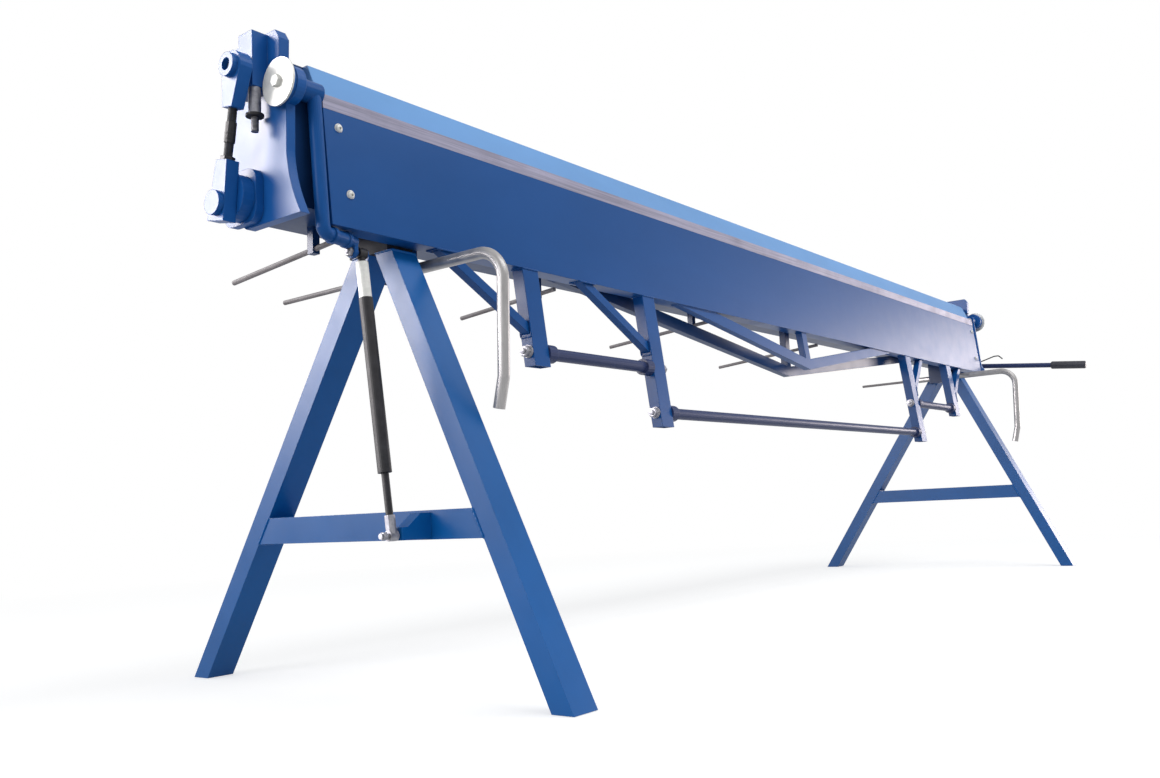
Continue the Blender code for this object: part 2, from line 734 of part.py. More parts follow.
def leaf_truss():
    outline = truss_outline(LEAF_BOTTOM - GAP, LEAF_TRUSS_REACH, LEAF_TRUSS_DROP, LEAF_POST_WIDTH)
    return leaning(outline, TRUSS_BAR_DEPTH)


# Lower end plates and what they carry

def end_plate_outline():
    """The plate's (y, z) outline: a hollow front edge, the round hinge head, then a straight back."""
    top = TABLE_HEIGHT - PLATE_TOP_DROP
    bottom = BEAM_BOTTOM - PLATE_BELOW_BEAM
    waist_y = HINGE_Y + PLATE_WAIST_SETBACK
    foot = PLATE_FOOT_FORWARD + PLATE_WAIST_SETBACK
    waist_height = (top - bottom) * PLATE_WAIST_SHARE
    front = []
    for step in range(ARC_STEPS):
        share = step / ARC_STEPS
        front.append((waist_y - foot * (1 - share) ** 2, bottom + waist_height * share))
    last_turn = math.degrees(math.asin(-PLATE_TOP_DROP / HINGE_HEAD_RADIUS))
    head = arc((HINGE_Y, TABLE_HEIGHT), HINGE_HEAD_RADIUS, 270, last_turn, 2 * ARC_STEPS)
    back_y = BEAM_BACK + PLATE_BEHIND_BEAM
    back = [
        (back_y, top),
        (back_y, bottom + PLATE_CORNER_HEIGHT),
        (back_y - PLATE_CORNER_WIDTH, bottom),
    ]
    return front + head + back


def end_plate(side):
    plate = along_x(end_plate_outline(), side * PLATE_IN, side * PLATE_OUT)
    boss = round_bar(at(side, PLATE_OUT - WELD_DEPTH, HINGE_POINT), at(side, BOSS_OUT, HINGE_POINT), BOSS_RADIUS)
    inner = PLATE_IN - CUT_OVERRUN
    outer = BOSS_OUT + CUT_OVERRUN
    hinge_bore = round_bar(at(side, inner, HINGE_POINT), at(side, outer, HINGE_POINT), HINGE_PIN_RADIUS + GAP)
    shaft_bore = round_bar(at(side, inner, SHAFT_POINT), at(side, outer, SHAFT_POINT), SHAFT_BORE)
    return cut(fuse(plate, boss), hinge_bore, shaft_bore)


def bearing_outline():
    front = SHAFT_POINT.y - BEARING_FORWARD
    bottom = SHAFT_POINT.z - BEARING_BELOW
    back = front + BEARING_DEPTH
    top = bottom + BEARING_HEIGHT
    r = BEARING_CORNER
    return (
        arc((front + r, bottom + r), r, 180, 270, BEND_STEPS)
        + arc((back - r, bottom + r), r, 270, 360, BEND_STEPS)
        + arc((back - r, top - r), r, 0, 90, BEND_STEPS)
        + arc((front + r, top - r), r, 90, 180, BEND_STEPS)
    )


def shaft_bearing(side):
    body = along_x(bearing_outline(), side * (PLATE_OUT + GAP), side * BEARING_OUT)
    inner = at(side, PLATE_OUT - CUT_OVERRUN, SHAFT_POINT)
    outer = at(side, BEARING_OUT + CUT_OVERRUN, SHAFT_POINT)
    return cut(body, round_bar(inner, outer, SHAFT_BORE))


def guide_pin_point(side):
    return Vector((side * GUIDE_PIN_X, HINGE_Y + GUIDE_PIN_BEHIND_HINGE, CLAMP_BEAM_BOTTOM))


# Trestles

def front_edge(z):
    """The outer edge of a front leg at height z."""
    return -FOOT_REACH + (FOOT_REACH - FRONT_TOP_FORWARD) * z / TRESTLE_TOP


def back_edge(z):
    return FOOT_REACH - (FOOT_REACH + BACK_TOP_FORWARD) * z / TRESTLE_TOP


def leg(side, edge, inwards):
    """A leaning tube with level cut ends, closed at the foot. inwards is +1 where its inner side is at +Y."""
    lean = (edge(TRESTLE_TOP) - edge(0)) / TRESTLE_TOP
    stretch = math.sqrt(1 + lean * lean)

    def level(z, wall):
        half = TUBE_WIDTH / 2 - wall
        outer = edge(z) + inwards * wall * stretch
        inner = edge(z) + inwards * (TUBE_DEPTH - wall) * stretch
        x0 = side * TRESTLE_X - half
        x1 = side * TRESTLE_X + half
        return [(x0, outer, z), (x1, outer, z), (x1, inner, z), (x0, inner, z)]

    floor = level(TUBE_WALL, TUBE_WALL)
    return loops_joined([level(0, 0), level(TRESTLE_TOP, 0), level(TRESTLE_TOP, TUBE_WALL), floor], False)


def crossbar(side):
    """A tube between the legs' inner sides, with slanted open ends."""
    front_stretch = math.hypot(1, (front_edge(TRESTLE_TOP) - front_edge(0)) / TRESTLE_TOP)
    back_stretch = math.hypot(1, (back_edge(TRESTLE_TOP) - back_edge(0)) / TRESTLE_TOP)

    def loop(edge, reach, wall):
        half = TUBE_WIDTH / 2 - wall
        low = CROSSBAR_HEIGHT + wall
        high = CROSSBAR_HEIGHT + CROSSBAR_DEPTH - wall
        x0 = side * TRESTLE_X - half
        x1 = side * TRESTLE_X + half
        corners = ((x0, low), (x1, low), (x1, high), (x0, high))
        return [(x, edge(z) + reach, z) for x, z in corners]

    front_reach = (TUBE_DEPTH + GAP) * front_stretch
    back_reach = -(TUBE_DEPTH + GAP) * back_stretch
    loops = [
        loop(front_edge, front_reach, 0),
        loop(back_edge, back_reach, 0),
        loop(back_edge, back_reach, TUBE_WALL),
        loop(front_edge, front_reach, TUBE_WALL),
    ]
    return loops_joined(loops, True)


def trestle_saddle(side):
    half = TUBE_WIDTH / 2 + SADDLE_OVERHANG
    front = LEAF_BACK + SADDLE_BEHIND_LEAF
    back = -BACK_TOP_FORWARD + SADDLE_BACK_REACH
    x_ends = (side * TRESTLE_X - half, side * TRESTLE_X + half)
    return block(x_ends, (front, back), (SADDLE_BOTTOM, SADDLE_TOP))


def strut_bracket():
    """A stepped tab on the near crossbar, which holds the strut's foot."""
    start = -(TRESTLE_X + TUBE_WIDTH / 2 + GAP)
    end = STRUT_X + STRUT_BRACKET_CLEAR
    bottom = CROSSBAR_HEIGHT + STRUT_BRACKET_BELOW
    top = bottom + STRUT_BRACKET_HEIGHT
    step_start, step_end = (start + (end - start) * share for share in STRUT_BRACKET_STEP_SHARES)
    low = top - STRUT_BRACKET_STEP
    outline = [(start, bottom), (start, top), (step_start, top), (step_end, low), (end, low), (end, bottom)]
    front = STRUT_FOOT.y - STRUT_BRACKET_THICKNESS / 2
    return prism([(x, front, z) for x, z in outline], (0, STRUT_BRACKET_THICKNESS, 0))


# Sliding rods and bent handles, with their blocks under the beam

def support_rod_z(y):
    """The height of the rods' middle lines, which fall a little towards the back."""
    return SUPPORT_ROD_Z - SUPPORT_ROD_FALL_SHARE * y


def support_rod_point(x, y):
    return (x, y, support_rod_z(y))


def support_rod(x, tip):
    start = support_rod_point(x, -SUPPORT_ROD_START)
    return round_bar(start, support_rod_point(x, tip), SUPPORT_ROD_RADIUS, SMALL_SIDES)


def handle(side, tail_reach):
    """A tube that runs forwards under the beam and bends down, with a thin rod out of its back end."""
    x = side * HANDLE_X
    forward = NEAR_HANDLE_FORWARD if side == NEAR else FAR_HANDLE_FORWARD
    kink_z = HANDLE_Z - HANDLE_LENGTH + HANDLE_KINK_LENGTH
    points = [
        (x, HANDLE_BACK, HANDLE_Z),
        (x, -forward, HANDLE_Z),
        (x, -forward + HANDLE_KINK_BACK, kink_z),
        (x, -forward + HANDLE_TIP_BACK, HANDLE_Z - HANDLE_LENGTH),
    ]
    path = rounded_path(points, (HANDLE_BEND, HANDLE_KINK_BEND))
    tube = swept(path, HANDLE_RADIUS, SMALL_SIDES, (HANDLE_BORE_RADIUS, HANDLE_BORE_DEPTH))
    tail = round_bar((x, HANDLE_BACK - WELD_DEPTH, HANDLE_Z), (x, tail_reach, HANDLE_Z), TAIL_RADIUS, SMALL_SIDES)
    return fuse(tube, tail)


# Bending leaf

def leaf_outline():
    return [
        (LEAF_BACK, LEAF_BOTTOM),
        (LEAF_BACK, LEAF_TOP),
        (LEAF_BACK - LEAF_TOP_DEPTH, LEAF_TOP),
        (LEAF_BACK - LEAF_BOTTOM_DEPTH, LEAF_BOTTOM),
    ]


def leaf_box():
    return hollow_along_x(leaf_outline(), LEAF_WALL, -LEAF_HALF, LEAF_HALF)


def leaf_blade():
    y_ends = (LEAF_BACK - LEAF_TOP_DEPTH, HINGE_Y - GAP)
    return block((-LEAF_HALF, LEAF_HALF), y_ends, (LEAF_TOP + GAP, TABLE_HEIGHT))


def barrel_cutter(side):
    inner = at(side, LEAF_HALF - CUT_OVERRUN, HINGE_POINT)
    outer = at(side, PLATE_IN + CUT_OVERRUN, HINGE_POINT)
    return round_bar(inner, outer, HINGE_PIN_RADIUS + GAP)


def leaf_arm(side):
    """The hinge barrel with a round bar down the leaf's end. The near one turns under the leaf to the strut."""
    barrel = round_bar(at(side, LEAF_HALF + GAP, HINGE_POINT), at(side, PLATE_IN - GAP, HINGE_POINT), BARREL_RADIUS)
    top = (side * ARM_X, HINGE_Y - ARM_TOP_FORWARD, TABLE_HEIGHT - ARM_TOP_DROP)
    if side == FAR:
        foot = (side * ARM_X, HINGE_Y - ARM_FOOT_FORWARD, LEAF_BOTTOM)
        return cut(fuse(barrel, round_bar(top, foot, ARM_RADIUS)), barrel_cutter(side))
    stub_z = LEAF_BOTTOM - STUB_DROP
    lug_end = STRUT_X - STRUT_EYE_WIDTH / 2 - LUG_APART
    elbow = Vector((side * ARM_X, HINGE_Y - ARM_FOOT_FORWARD, stub_z))
    stub = Vector((lug_end - WELD_DEPTH, HINGE_Y - STUB_FORWARD, stub_z))
    bar = swept(rounded_path([top, elbow, stub], [ELBOW_RADIUS]), ARM_RADIUS, ROUND_SIDES)
    arm = fuse(barrel, bar, stub_bushing(elbow, stub), strut_lug(lug_end, stub_z))
    return cut(arm, barrel_cutter(side))


def stub_bushing(elbow, stub):
    """A rimmed bushing round the stub, which ends short of the lug."""
    reach = stub - elbow
    length = reach.length - LUG_THICKNESS - BUSHING_FROM_LUG
    profile = [
        (BUSHING_START, BUSHING_RADIUS),
        (BUSHING_START + BUSHING_RIM, BUSHING_RADIUS),
        (BUSHING_START + BUSHING_RIM, BUSHING_NECK_RADIUS),
        (length - BUSHING_RIM, BUSHING_NECK_RADIUS),
        (length - BUSHING_RIM, BUSHING_RADIUS),
        (length, BUSHING_RADIUS),
    ]
    return turned(profile, elbow, reach)


def strut_lug(lug_end, stub_z):
    """A rounded tab from the stub down to the strut's top pivot, with the pivot's stud."""
    upper = Vector((HINGE_Y - STUB_FORWARD, stub_z))
    lower = Vector((STRUT_TOP.y, STRUT_TOP.z))
    turn = math.degrees(math.atan2(lower.y - upper.y, lower.x - upper.x))
    outline = arc(upper, LUG_RADIUS, turn + 90, turn + 270) + arc(lower, LUG_RADIUS, turn - 90, turn + 90)
    tab = along_x(outline, lug_end - LUG_THICKNESS, lug_end)
    stud_end = Vector((STRUT_X + STRUT_EYE_WIDTH / 2 + STRUT_EYE_CLEAR + STUD_HEAD_THICKNESS, lower.x, lower.y))
    stud = round_bar((lug_end - WELD_DEPTH, lower.x, lower.y), stud_end, STUD_RADIUS, SMALL_SIDES)
    head_start = stud_end - Vector((STUD_HEAD_THICKNESS, 0, 0))
    head = round_bar(head_start, stud_end, STUD_HEAD_RADIUS, SMALL_SIDES)
    return fuse(tab, fuse(stud, head))


def hinge_pin(side):
    """The pin of the bend line, with the disc and hexagon head that keep it in."""
    start = at(side, LEAF_HALF + WELD_DEPTH, HINGE_POINT)
    pin = round_bar(start, at(side, BOSS_OUT + GAP + WELD_DEPTH, HINGE_POINT), HINGE_PIN_RADIUS)
    disc = round_bar(at(side, BOSS_OUT + GAP, HINGE_POINT), at(side, DISC_OUT, HINGE_POINT), DISC_RADIUS)
    head_start = at(side, DISC_OUT - WELD_DEPTH, HINGE_POINT)
    head = hex_piece(head_start, (side, 0, 0), DISC_BOLT_ACROSS, DISC_BOLT_HEIGHT + WELD_DEPTH)
    return fuse(disc, pin, head)


def grip_z(drop):
    return LEAF_BOTTOM - drop


def inner_bracket_x(side):
    return LEAF_HALF * (NEAR_INNER_SHARE if side == NEAR else FAR_INNER_SHARE)


def outer_bracket_x(side):
    return LEAF_HALF - (NEAR_OUTER_INSET if side == NEAR else FAR_OUTER_INSET)


def bracket(side, x, length):
    """An open tube that leans forwards under the leaf, with a diagonal brace towards the machine's end."""
    def level(z, wall):
        half = BRACKET_WIDTH / 2 - wall
        depth = BRACKET_DEPTH / 2 - wall
        x0 = side * x - half
        x1 = side * x + half
        y = lean_y(z)
        return [(x0, y - depth, z), (x1, y - depth, z), (x1, y + depth, z), (x0, y + depth, z)]

    top = LEAF_BOTTOM - GAP
    bottom = LEAF_BOTTOM - length
    tube = loops_joined(
        [level(bottom, 0), level(top, 0), level(top, BRACKET_WALL), level(bottom, BRACKET_WALL)], True)
    start = x + BRACKET_WIDTH / 2 - BRACKET_WALL / 2
    end = x + (NEAR_BRACE_REACH if side == NEAR else FAR_BRACE_REACH)
    slope = Vector((end - start, BRACE_DROP))
    half_height = BRACE_WIDTH / 2 * slope.length / slope.x
    half_width = BRACE_WIDTH / 2 * slope.length / slope.y
    middle = LEAF_BOTTOM - BRACE_DROP
    outline = [
        (side * start, middle - half_height),
        (side * start, middle + half_height),
        (side * (end - half_width), top),
        (side * (end + half_width), top),
    ]
    return fuse(tube, leaning(outline, BRACE_WIDTH))


def grip_bar(x_from, x_to, z):
    """A round bar with a collar at each end."""
    length = x_to - x_from - 2 * GAP
    profile = [
        (0, COLLAR_RADIUS),
        (COLLAR_LENGTH, COLLAR_RADIUS),
        (COLLAR_LENGTH, GRIP_RADIUS),
        (length - COLLAR_LENGTH, GRIP_RADIUS),
        (length - COLLAR_LENGTH, COLLAR_RADIUS),
        (length, COLLAR_RADIUS),
    ]
    return turned(profile, (x_from + GAP, lean_y(z), z), (1, 0, 0), SMALL_SIDES + BEND_STEPS)


def side_grip_bar(side):
    inner = side * (inner_bracket_x(side) + BRACKET_WIDTH / 2)
    outer = side * (outer_bracket_x(side) - BRACKET_WIDTH / 2)
    return grip_bar(min(inner, outer), max(inner, outer), grip_z(OUTER_GRIP_DROP))


def centre_grip_bar():
    near, far = (side * (inner_bracket_x(side) - BRACKET_WIDTH / 2) for side in ENDS)
    return grip_bar(near, far, grip_z(CENTRE_GRIP_DROP))


# Clamp

def clamp_beam():
    outline = [
        (CLAMP_BEAM_FRONT, CLAMP_BEAM_BOTTOM),
        (CLAMP_BEAM_BACK, CLAMP_BEAM_BOTTOM),
        (CLAMP_BEAM_BACK, CLAMP_BEAM_TOP),
        (CLAMP_BEAM_FRONT, CLAMP_BEAM_TOP),
    ]
    tube = hollow_along_x(outline, CLAMP_BEAM_WALL, -(CLAMP_PLATE_IN - GAP), CLAMP_PLATE_IN - GAP)
    holes = []
    for side in ENDS:
        middle = guide_pin_point(side)
        reach = Vector((0, 0, CLAMP_BEAM_WALL + CUT_OVERRUN))
        holes.append(round_bar(middle - reach, middle + reach, GUIDE_PIN_RADIUS + GUIDE_PIN_CLEAR, SMALL_SIDES))
    return cut(tube, *holes)


def clamp_blade():
    """The slanted nose, whose tip presses the sheet at the bend line."""
    back = CLAMP_BEAM_FRONT - GAP
    tip = HINGE_Y + NOSE_SETBACK
    bottom = TABLE_HEIGHT + GAP
    outline = [
        (tip, bottom),
        (back - NOSE_TOP_DEPTH, CLAMP_BEAM_TOP),
        (back, CLAMP_BEAM_TOP),
        (back, CLAMP_BEAM_BOTTOM),
        (tip + NOSE_FOOT, bottom),
    ]
    return along_x(outline, -LEAF_HALF, LEAF_HALF)


def clamp_plate(side):
    """An end plate with the thick anchor on its outer face that the link holds."""
    bottom = TABLE_HEIGHT + CLAMP_PLATE_CLEAR
    outline = []
    for forward, up in CLAMP_PLATE_SHARES:
        outline.append((CLAMP_BEAM_BACK - CLAMP_PLATE_DEPTH * forward, bottom + CLAMP_PLATE_HEIGHT * up))
    plate = along_x(outline, side * CLAMP_PLATE_IN, side * PLATE_OUT)
    y_ends = (PIVOT_POINT.y - ANCHOR_FORWARD, PIVOT_POINT.y + ANCHOR_BACKWARD)
    z_ends = (PIVOT_POINT.z - ANCHOR_BELOW, PIVOT_POINT.z + ANCHOR_ABOVE)
    anchor = block((side * (PLATE_OUT - WELD_DEPTH), side * ANCHOR_OUT), y_ends, z_ends)
    inner = at(side, PLATE_OUT, PIVOT_POINT)
    outer = at(side, ANCHOR_OUT + CUT_OVERRUN, PIVOT_POINT)
    return cut(fuse(plate, anchor), round_bar(inner, outer, LINK_PIN_RADIUS + GAP))


def clamp_pivot_pin(side):
    return round_bar(at(side, PLATE_OUT + GAP, PIVOT_POINT), at(side, LINK_OUT, PIVOT_POINT), LINK_PIN_RADIUS)


def clamp_stop_screw(side):
    """A sleeve, flange and stud under an anchor."""
    flange = STOP_SLEEVE_LENGTH + STOP_FLANGE_THICKNESS
    profile = [
        (0, STOP_SLEEVE_RADIUS),
        (STOP_SLEEVE_LENGTH, STOP_SLEEVE_RADIUS),
        (STOP_SLEEVE_LENGTH, STOP_FLANGE_RADIUS),
        (flange, STOP_FLANGE_RADIUS),
        (flange, STOP_STUD_RADIUS),
        (flange + STOP_STUD_LENGTH, STOP_STUD_RADIUS),
    ]
    top = PIVOT_POINT.z - ANCHOR_BELOW - GAP
    start = (side * (PLATE_OUT + STOP_FROM_PLATE), PIVOT_POINT.y - STOP_FORWARD, top)
    return turned(profile, start, (0, 0, -1), SMALL_SIDES + BEND_STEPS)


# Torsion shaft, cranks and lever

def torsion_shaft():
    return round_bar(at(NEAR, BEARING_OUT, SHAFT_POINT), at(FAR, BEARING_OUT, SHAFT_POINT), SHAFT_RADIUS)


def crank(side):
    """A disc on the shaft's end, with an offset pin and a cap that holds the link's lower eye."""
    disc = round_bar(at(side, BEARING_OUT + GAP, SHAFT_POINT), at(side, CRANK_OUT, SHAFT_POINT), CRANK_RADIUS)
    pin_start = at(side, CRANK_OUT - WELD_DEPTH, CRANK_POINT)
    pin_end = at(side, LINK_OUT + GAP + WELD_DEPTH, CRANK_POINT)
    pin = round_bar(pin_start, pin_end, CRANK_PIN_RADIUS)
    cap = round_bar(at(side, LINK_OUT + GAP, CRANK_POINT), at(side, CAP_OUT, CRANK_POINT), CRANK_CAP_RADIUS)
    return fuse(disc, fuse(pin, cap))


def lever_bar():
    hub = round_bar(at(FAR, LEVER_IN, SHAFT_POINT), at(FAR, LEVER_IN + HUB_LENGTH, SHAFT_POINT), HUB_RADIUS)
    start = at(FAR, LEVER_X, SHAFT_POINT)
    bar = round_bar(start, start + LEVER_OUT * (LEVER_LENGTH - LEVER_GRIP_CAP), LEVER_RADIUS, SMALL_SIDES)
    return fuse(hub, bar)


def lever_grip():
    """A grip with rounded ends, open towards the hub for the bar."""
    bore = LEVER_RADIUS + GAP
    depth = LEVER_GRIP_LENGTH - LEVER_GRIP_CAP + GAP
    profile = [
        (depth, bore),
        (0, bore),
        (0, LEVER_GRIP_RADIUS - LEVER_GRIP_ROUND),
        (LEVER_GRIP_ROUND, LEVER_GRIP_RADIUS),
        (LEVER_GRIP_LENGTH - LEVER_GRIP_ROUND, LEVER_GRIP_RADIUS),
        (LEVER_GRIP_LENGTH, LEVER_GRIP_RADIUS - LEVER_GRIP_ROUND),
    ]
    start = at(FAR, LEVER_X, SHAFT_POINT) + LEVER_OUT * (LEVER_LENGTH - LEVER_GRIP_LENGTH)
    return turned(profile, start, LEVER_OUT, SMALL_SIDES)


# Links

def link_at(along, across=0):
    """A (y, z) point at a distance down the link from its upper pivot."""
    point = PIVOT_POINT + LINK_DOWN * along + LINK_ACROSS * across
    return (point.y, point.z)


def link_turn(direction):
    return math.degrees(math.atan2(direction.z, direction.y))


def upper_eye_outline():
    turn = link_turn(LINK_DOWN)
    half = UPPER_EYE_TAIL_WIDTH / 2
    head = arc(link_at(0), UPPER_EYE_RADIUS, turn + 90, turn + 270)
    return head + [link_at(UPPER_EYE_TAIL, -half), link_at(UPPER_EYE_TAIL, half)]


def lower_eye_outline():
    half = LOWER_EYE_NECK_WIDTH / 2
    foot_half = LOWER_EYE_FOOT_WIDTH / 2
    neck = LINK_LENGTH - LOWER_EYE_NECK
    foot = LINK_LENGTH + LOWER_EYE_FOOT
    return [link_at(neck, half), link_at(neck, -half), link_at(foot, -foot_half), link_at(foot, foot_half)]


def link_point(side, along):
    y, z = link_at(along)
    return Vector((side * (LINK_IN + LINK_OUT) / 2, y, z))


def link_upper_eye(side):
    """The eye on the clamp's pivot pin, with a bearing tube and a threaded stud that ends in the sleeve."""
    eye = along_x(upper_eye_outline(), side * LINK_IN, side * LINK_OUT)
    boss_end = at(side, LINK_OUT + UPPER_BOSS_PROUD, PIVOT_POINT)
    boss = round_bar(at(side, LINK_OUT - WELD_DEPTH, PIVOT_POINT), boss_end, UPPER_BOSS_RADIUS)
    stud_start = link_point(side, UPPER_EYE_TAIL - WELD_DEPTH)
    stud_end = link_point(side, SLEEVE_MIDDLE - THREAD_APART / 2)
    stud = round_bar(stud_start, stud_end, THREAD_RADIUS, SMALL_SIDES)
    bore_start = at(side, LINK_IN - CUT_OVERRUN, PIVOT_POINT)
    bore_end = at(side, LINK_OUT + UPPER_BOSS_PROUD + CUT_OVERRUN, PIVOT_POINT)
    return cut(fuse(eye, boss, stud), round_bar(bore_start, bore_end, LINK_PIN_RADIUS + LINK_PIN_CLEAR))


def link_lower_eye(side):
    """The eye round the crank's pin, with a threaded stud and a lock nut."""
    neck = LINK_LENGTH - LOWER_EYE_NECK
    eye = along_x(lower_eye_outline(), side * LINK_IN, side * LINK_OUT)
    stud_start = link_point(side, SLEEVE_MIDDLE + THREAD_APART / 2)
    stud = round_bar(stud_start, link_point(side, neck + WELD_DEPTH), THREAD_RADIUS, SMALL_SIDES)
    nut = hex_piece(link_point(side, neck + WELD_DEPTH), -LINK_DOWN, LOCK_NUT_ACROSS, LOCK_NUT_HEIGHT)
    bore_start = at(side, LINK_IN - CUT_OVERRUN, CRANK_POINT)
    bore_end = at(side, LINK_OUT + CUT_OVERRUN, CRANK_POINT)
    return cut(fuse(eye, stud, nut), round_bar(bore_start, bore_end, LOWER_EYE_BORE))


def link_sleeve(side):
    """The turned adjuster, threaded at both ends onto the link's studs."""
    profile = [
        (0, THREAD_RADIUS + GAP),
        (0, LINK_SLEEVE_RADIUS),
        (LINK_SLEEVE_LENGTH, LINK_SLEEVE_RADIUS),
        (LINK_SLEEVE_LENGTH, THREAD_RADIUS + GAP),
    ]
    return turned(profile, link_point(side, LINK_SLEEVE_START), LINK_DOWN, SMALL_SIDES, True)


# Gas strut

def strut_at(along):
    return STRUT_TOP + STRUT_DOWN * along


def strut_cylinder():
    """The cylinder with its top eye. The bore is open through the gland at the lower end."""
    start = STRUT_TUBE_START
    step = start + STRUT_SHROUD_WALL + STRUT_SHROUD_LENGTH + GAP
    end = start + STRUT_TUBE_LENGTH
    gland = end - STRUT_GLAND
    rod_bore = STRUT_ROD_RADIUS + GAP
    profile = [
        (start, STRUT_UPPER_RADIUS),
        (step, STRUT_UPPER_RADIUS),
        (step, STRUT_TUBE_RADIUS),
        (end, STRUT_TUBE_RADIUS),
        (end, rod_bore),
        (gland, rod_bore),
        (gland, STRUT_BORE_RADIUS),
        (start + STRUT_CROWN, STRUT_BORE_RADIUS),
    ]
    tube = turned(profile, STRUT_TOP, STRUT_DOWN)
    half = Vector((STRUT_EYE_WIDTH / 2, 0, 0))
    eye = round_bar(STRUT_TOP - half, STRUT_TOP + half, STRUT_EYE_RADIUS)
    neck = round_bar(strut_at(STUD_RADIUS + STRUT_EYE_CLEAR), strut_at(start + WELD_DEPTH), STRUT_NECK_RADIUS)
    overrun = Vector((CUT_OVERRUN, 0, 0))
    bore = round_bar(STRUT_TOP - half - overrun, STRUT_TOP + half + overrun, STUD_RADIUS + GAP, SMALL_SIDES)
    return cut(fuse(tube, fuse(eye, neck)), bore)


def strut_shroud():
    inner = STRUT_UPPER_RADIUS + GAP
    outer = inner + STRUT_SHROUD_WALL
    profile = [(0, inner), (0, outer), (STRUT_SHROUD_LENGTH, outer), (STRUT_SHROUD_LENGTH, inner)]
    return turned(profile, strut_at(STRUT_TUBE_START + STRUT_SHROUD_WALL), STRUT_DOWN, ROUND_SIDES, True)


def strut_rod():
    """The rod with the piston that stays inside the cylinder."""
    start = STRUT_TUBE_START + STRUT_CROWN + STRUT_PISTON_CLEAR
    piston_end = start + STRUT_PISTON_LENGTH
    profile = [
        (start, STRUT_BORE_RADIUS - GAP),
        (piston_end, STRUT_BORE_RADIUS - GAP),
        (piston_end, STRUT_ROD_RADIUS),
        (STRUT_LENGTH - STRUT_FORK_LENGTH - GAP, STRUT_ROD_RADIUS),
    ]
    return turned(profile, STRUT_TOP, STRUT_DOWN, ROUND_SIDES)


def strut_clevis():
    """The rod's end fitting, with a stud towards the bracket and a nut on its other end."""
    head = turned(
        [(STRUT_LENGTH - STRUT_FORK_LENGTH, STRUT_FORK_RADIUS), (STRUT_LENGTH, STRUT_FORK_RADIUS)],
        STRUT_TOP, STRUT_DOWN, SMALL_SIDES)
    half = Vector((STRUT_FORK_WIDTH / 2, 0, 0))
    eye = round_bar(STRUT_FOOT - half, STRUT_FOOT + half, STRUT_FORK_RADIUS)
    outer = STRUT_FOOT - Vector((STRUT_STUD_LENGTH, 0, 0))
    inner = STRUT_FOOT + Vector((STRUT_BRACKET_CLEAR - GAP, 0, 0))
    stud = round_bar(outer, inner, STUD_RADIUS, SMALL_SIDES)
    nut_start = outer + Vector((STRUT_NUT_INSET, 0, 0))
    nut = hex_piece(nut_start + Vector((STRUT_NUT_HEIGHT, 0, 0)), (-1, 0, 0), STRUT_NUT_ACROSS, STRUT_NUT_HEIGHT)
    return fuse(head, eye, fuse(stud, nut))


# Hook beside the lever

def lever_hook():
    eye_end = HOOK_POINT + Vector((HOOK_EYE_LENGTH, 0, 0))
    eye = round_bar(HOOK_POINT, eye_end, HOOK_EYE_RADIUS, SMALL_SIDES)
    x = HOOK_POINT.x + HOOK_EYE_LENGTH / 2
    points = [(x, HOOK_POINT.y - HOOK_LENGTH * out, HOOK_POINT.z + HOOK_RISE * up) for out, up in HOOK_SHARES]
    wire = swept(rounded_path(points, [HOOK_BEND_RADIUS] * 3), HOOK_WIRE_RADIUS, SMALL_SIDES - BEND_STEPS + 2)
    return fuse(eye, wire)


def build_stand(place):
    place("lower_beam", lower_beam(), "blue_paint", "stand")
    place("table_rail", table_rail(), "bare_steel", "stand")
    place("beam_truss", beam_truss(), "blue_paint", "stand")
    place("strut_bracket", strut_bracket(), "blue_paint", "stand")
    for name, side in SIDES:
        place(name + "_end_plate", end_plate(side), "blue_paint", "stand")
        place(name + "_shaft_bearing", shaft_bearing(side), "blue_paint", "stand")
        place(name + "_saddle", trestle_saddle(side), "dark_steel", "stand")
        place(name + "_front_leg", leg(side, front_edge, 1), "blue_paint", "stand")
        place(name + "_back_leg", leg(side, back_edge, -1), "blue_paint", "stand")
        place(name + "_crossbar", crossbar(side), "blue_paint", "stand")


def build_leaf(place):
    place("leaf_box", leaf_box(), "blue_paint", "leaf")
    place("leaf_blade", leaf_blade(), "bare_steel", "leaf")
    place("leaf_truss", leaf_truss(), "blue_paint", "leaf")
    place("centre_grip_bar", centre_grip_bar(), "zinc_steel", "leaf")
    for name, side in SIDES:
        place(name + "_leaf_arm", leaf_arm(side), "blue_paint", "leaf")
        place(name + "_hinge_pin", hinge_pin(side), "chrome", "leaf")
        place(name + "_grip_bar", side_grip_bar(side), "zinc_steel", "leaf")
        outer = bracket(side, outer_bracket_x(side), OUTER_BRACKET_LENGTH)
        place(name + "_outer_bracket", outer, "blue_paint", "leaf")
        inner = bracket(side, inner_bracket_x(side), INNER_BRACKET_LENGTH)
        place(name + "_inner_bracket", inner, "blue_paint", "leaf")


def build_clamp(place):
    place("clamp_beam", clamp_beam(), "blue_paint", "clamp")
    place("clamp_blade", clamp_blade(), "light_blue_paint", "clamp")
    for name, side in SIDES:
        place(name + "_clamp_plate", clamp_plate(side), "blue_paint", "clamp")
        place(name + "_pivot_pin", clamp_pivot_pin(side), "zinc_steel", "clamp")
        place(name + "_stop_screw", clamp_stop_screw(side), "zinc_steel", "clamp")


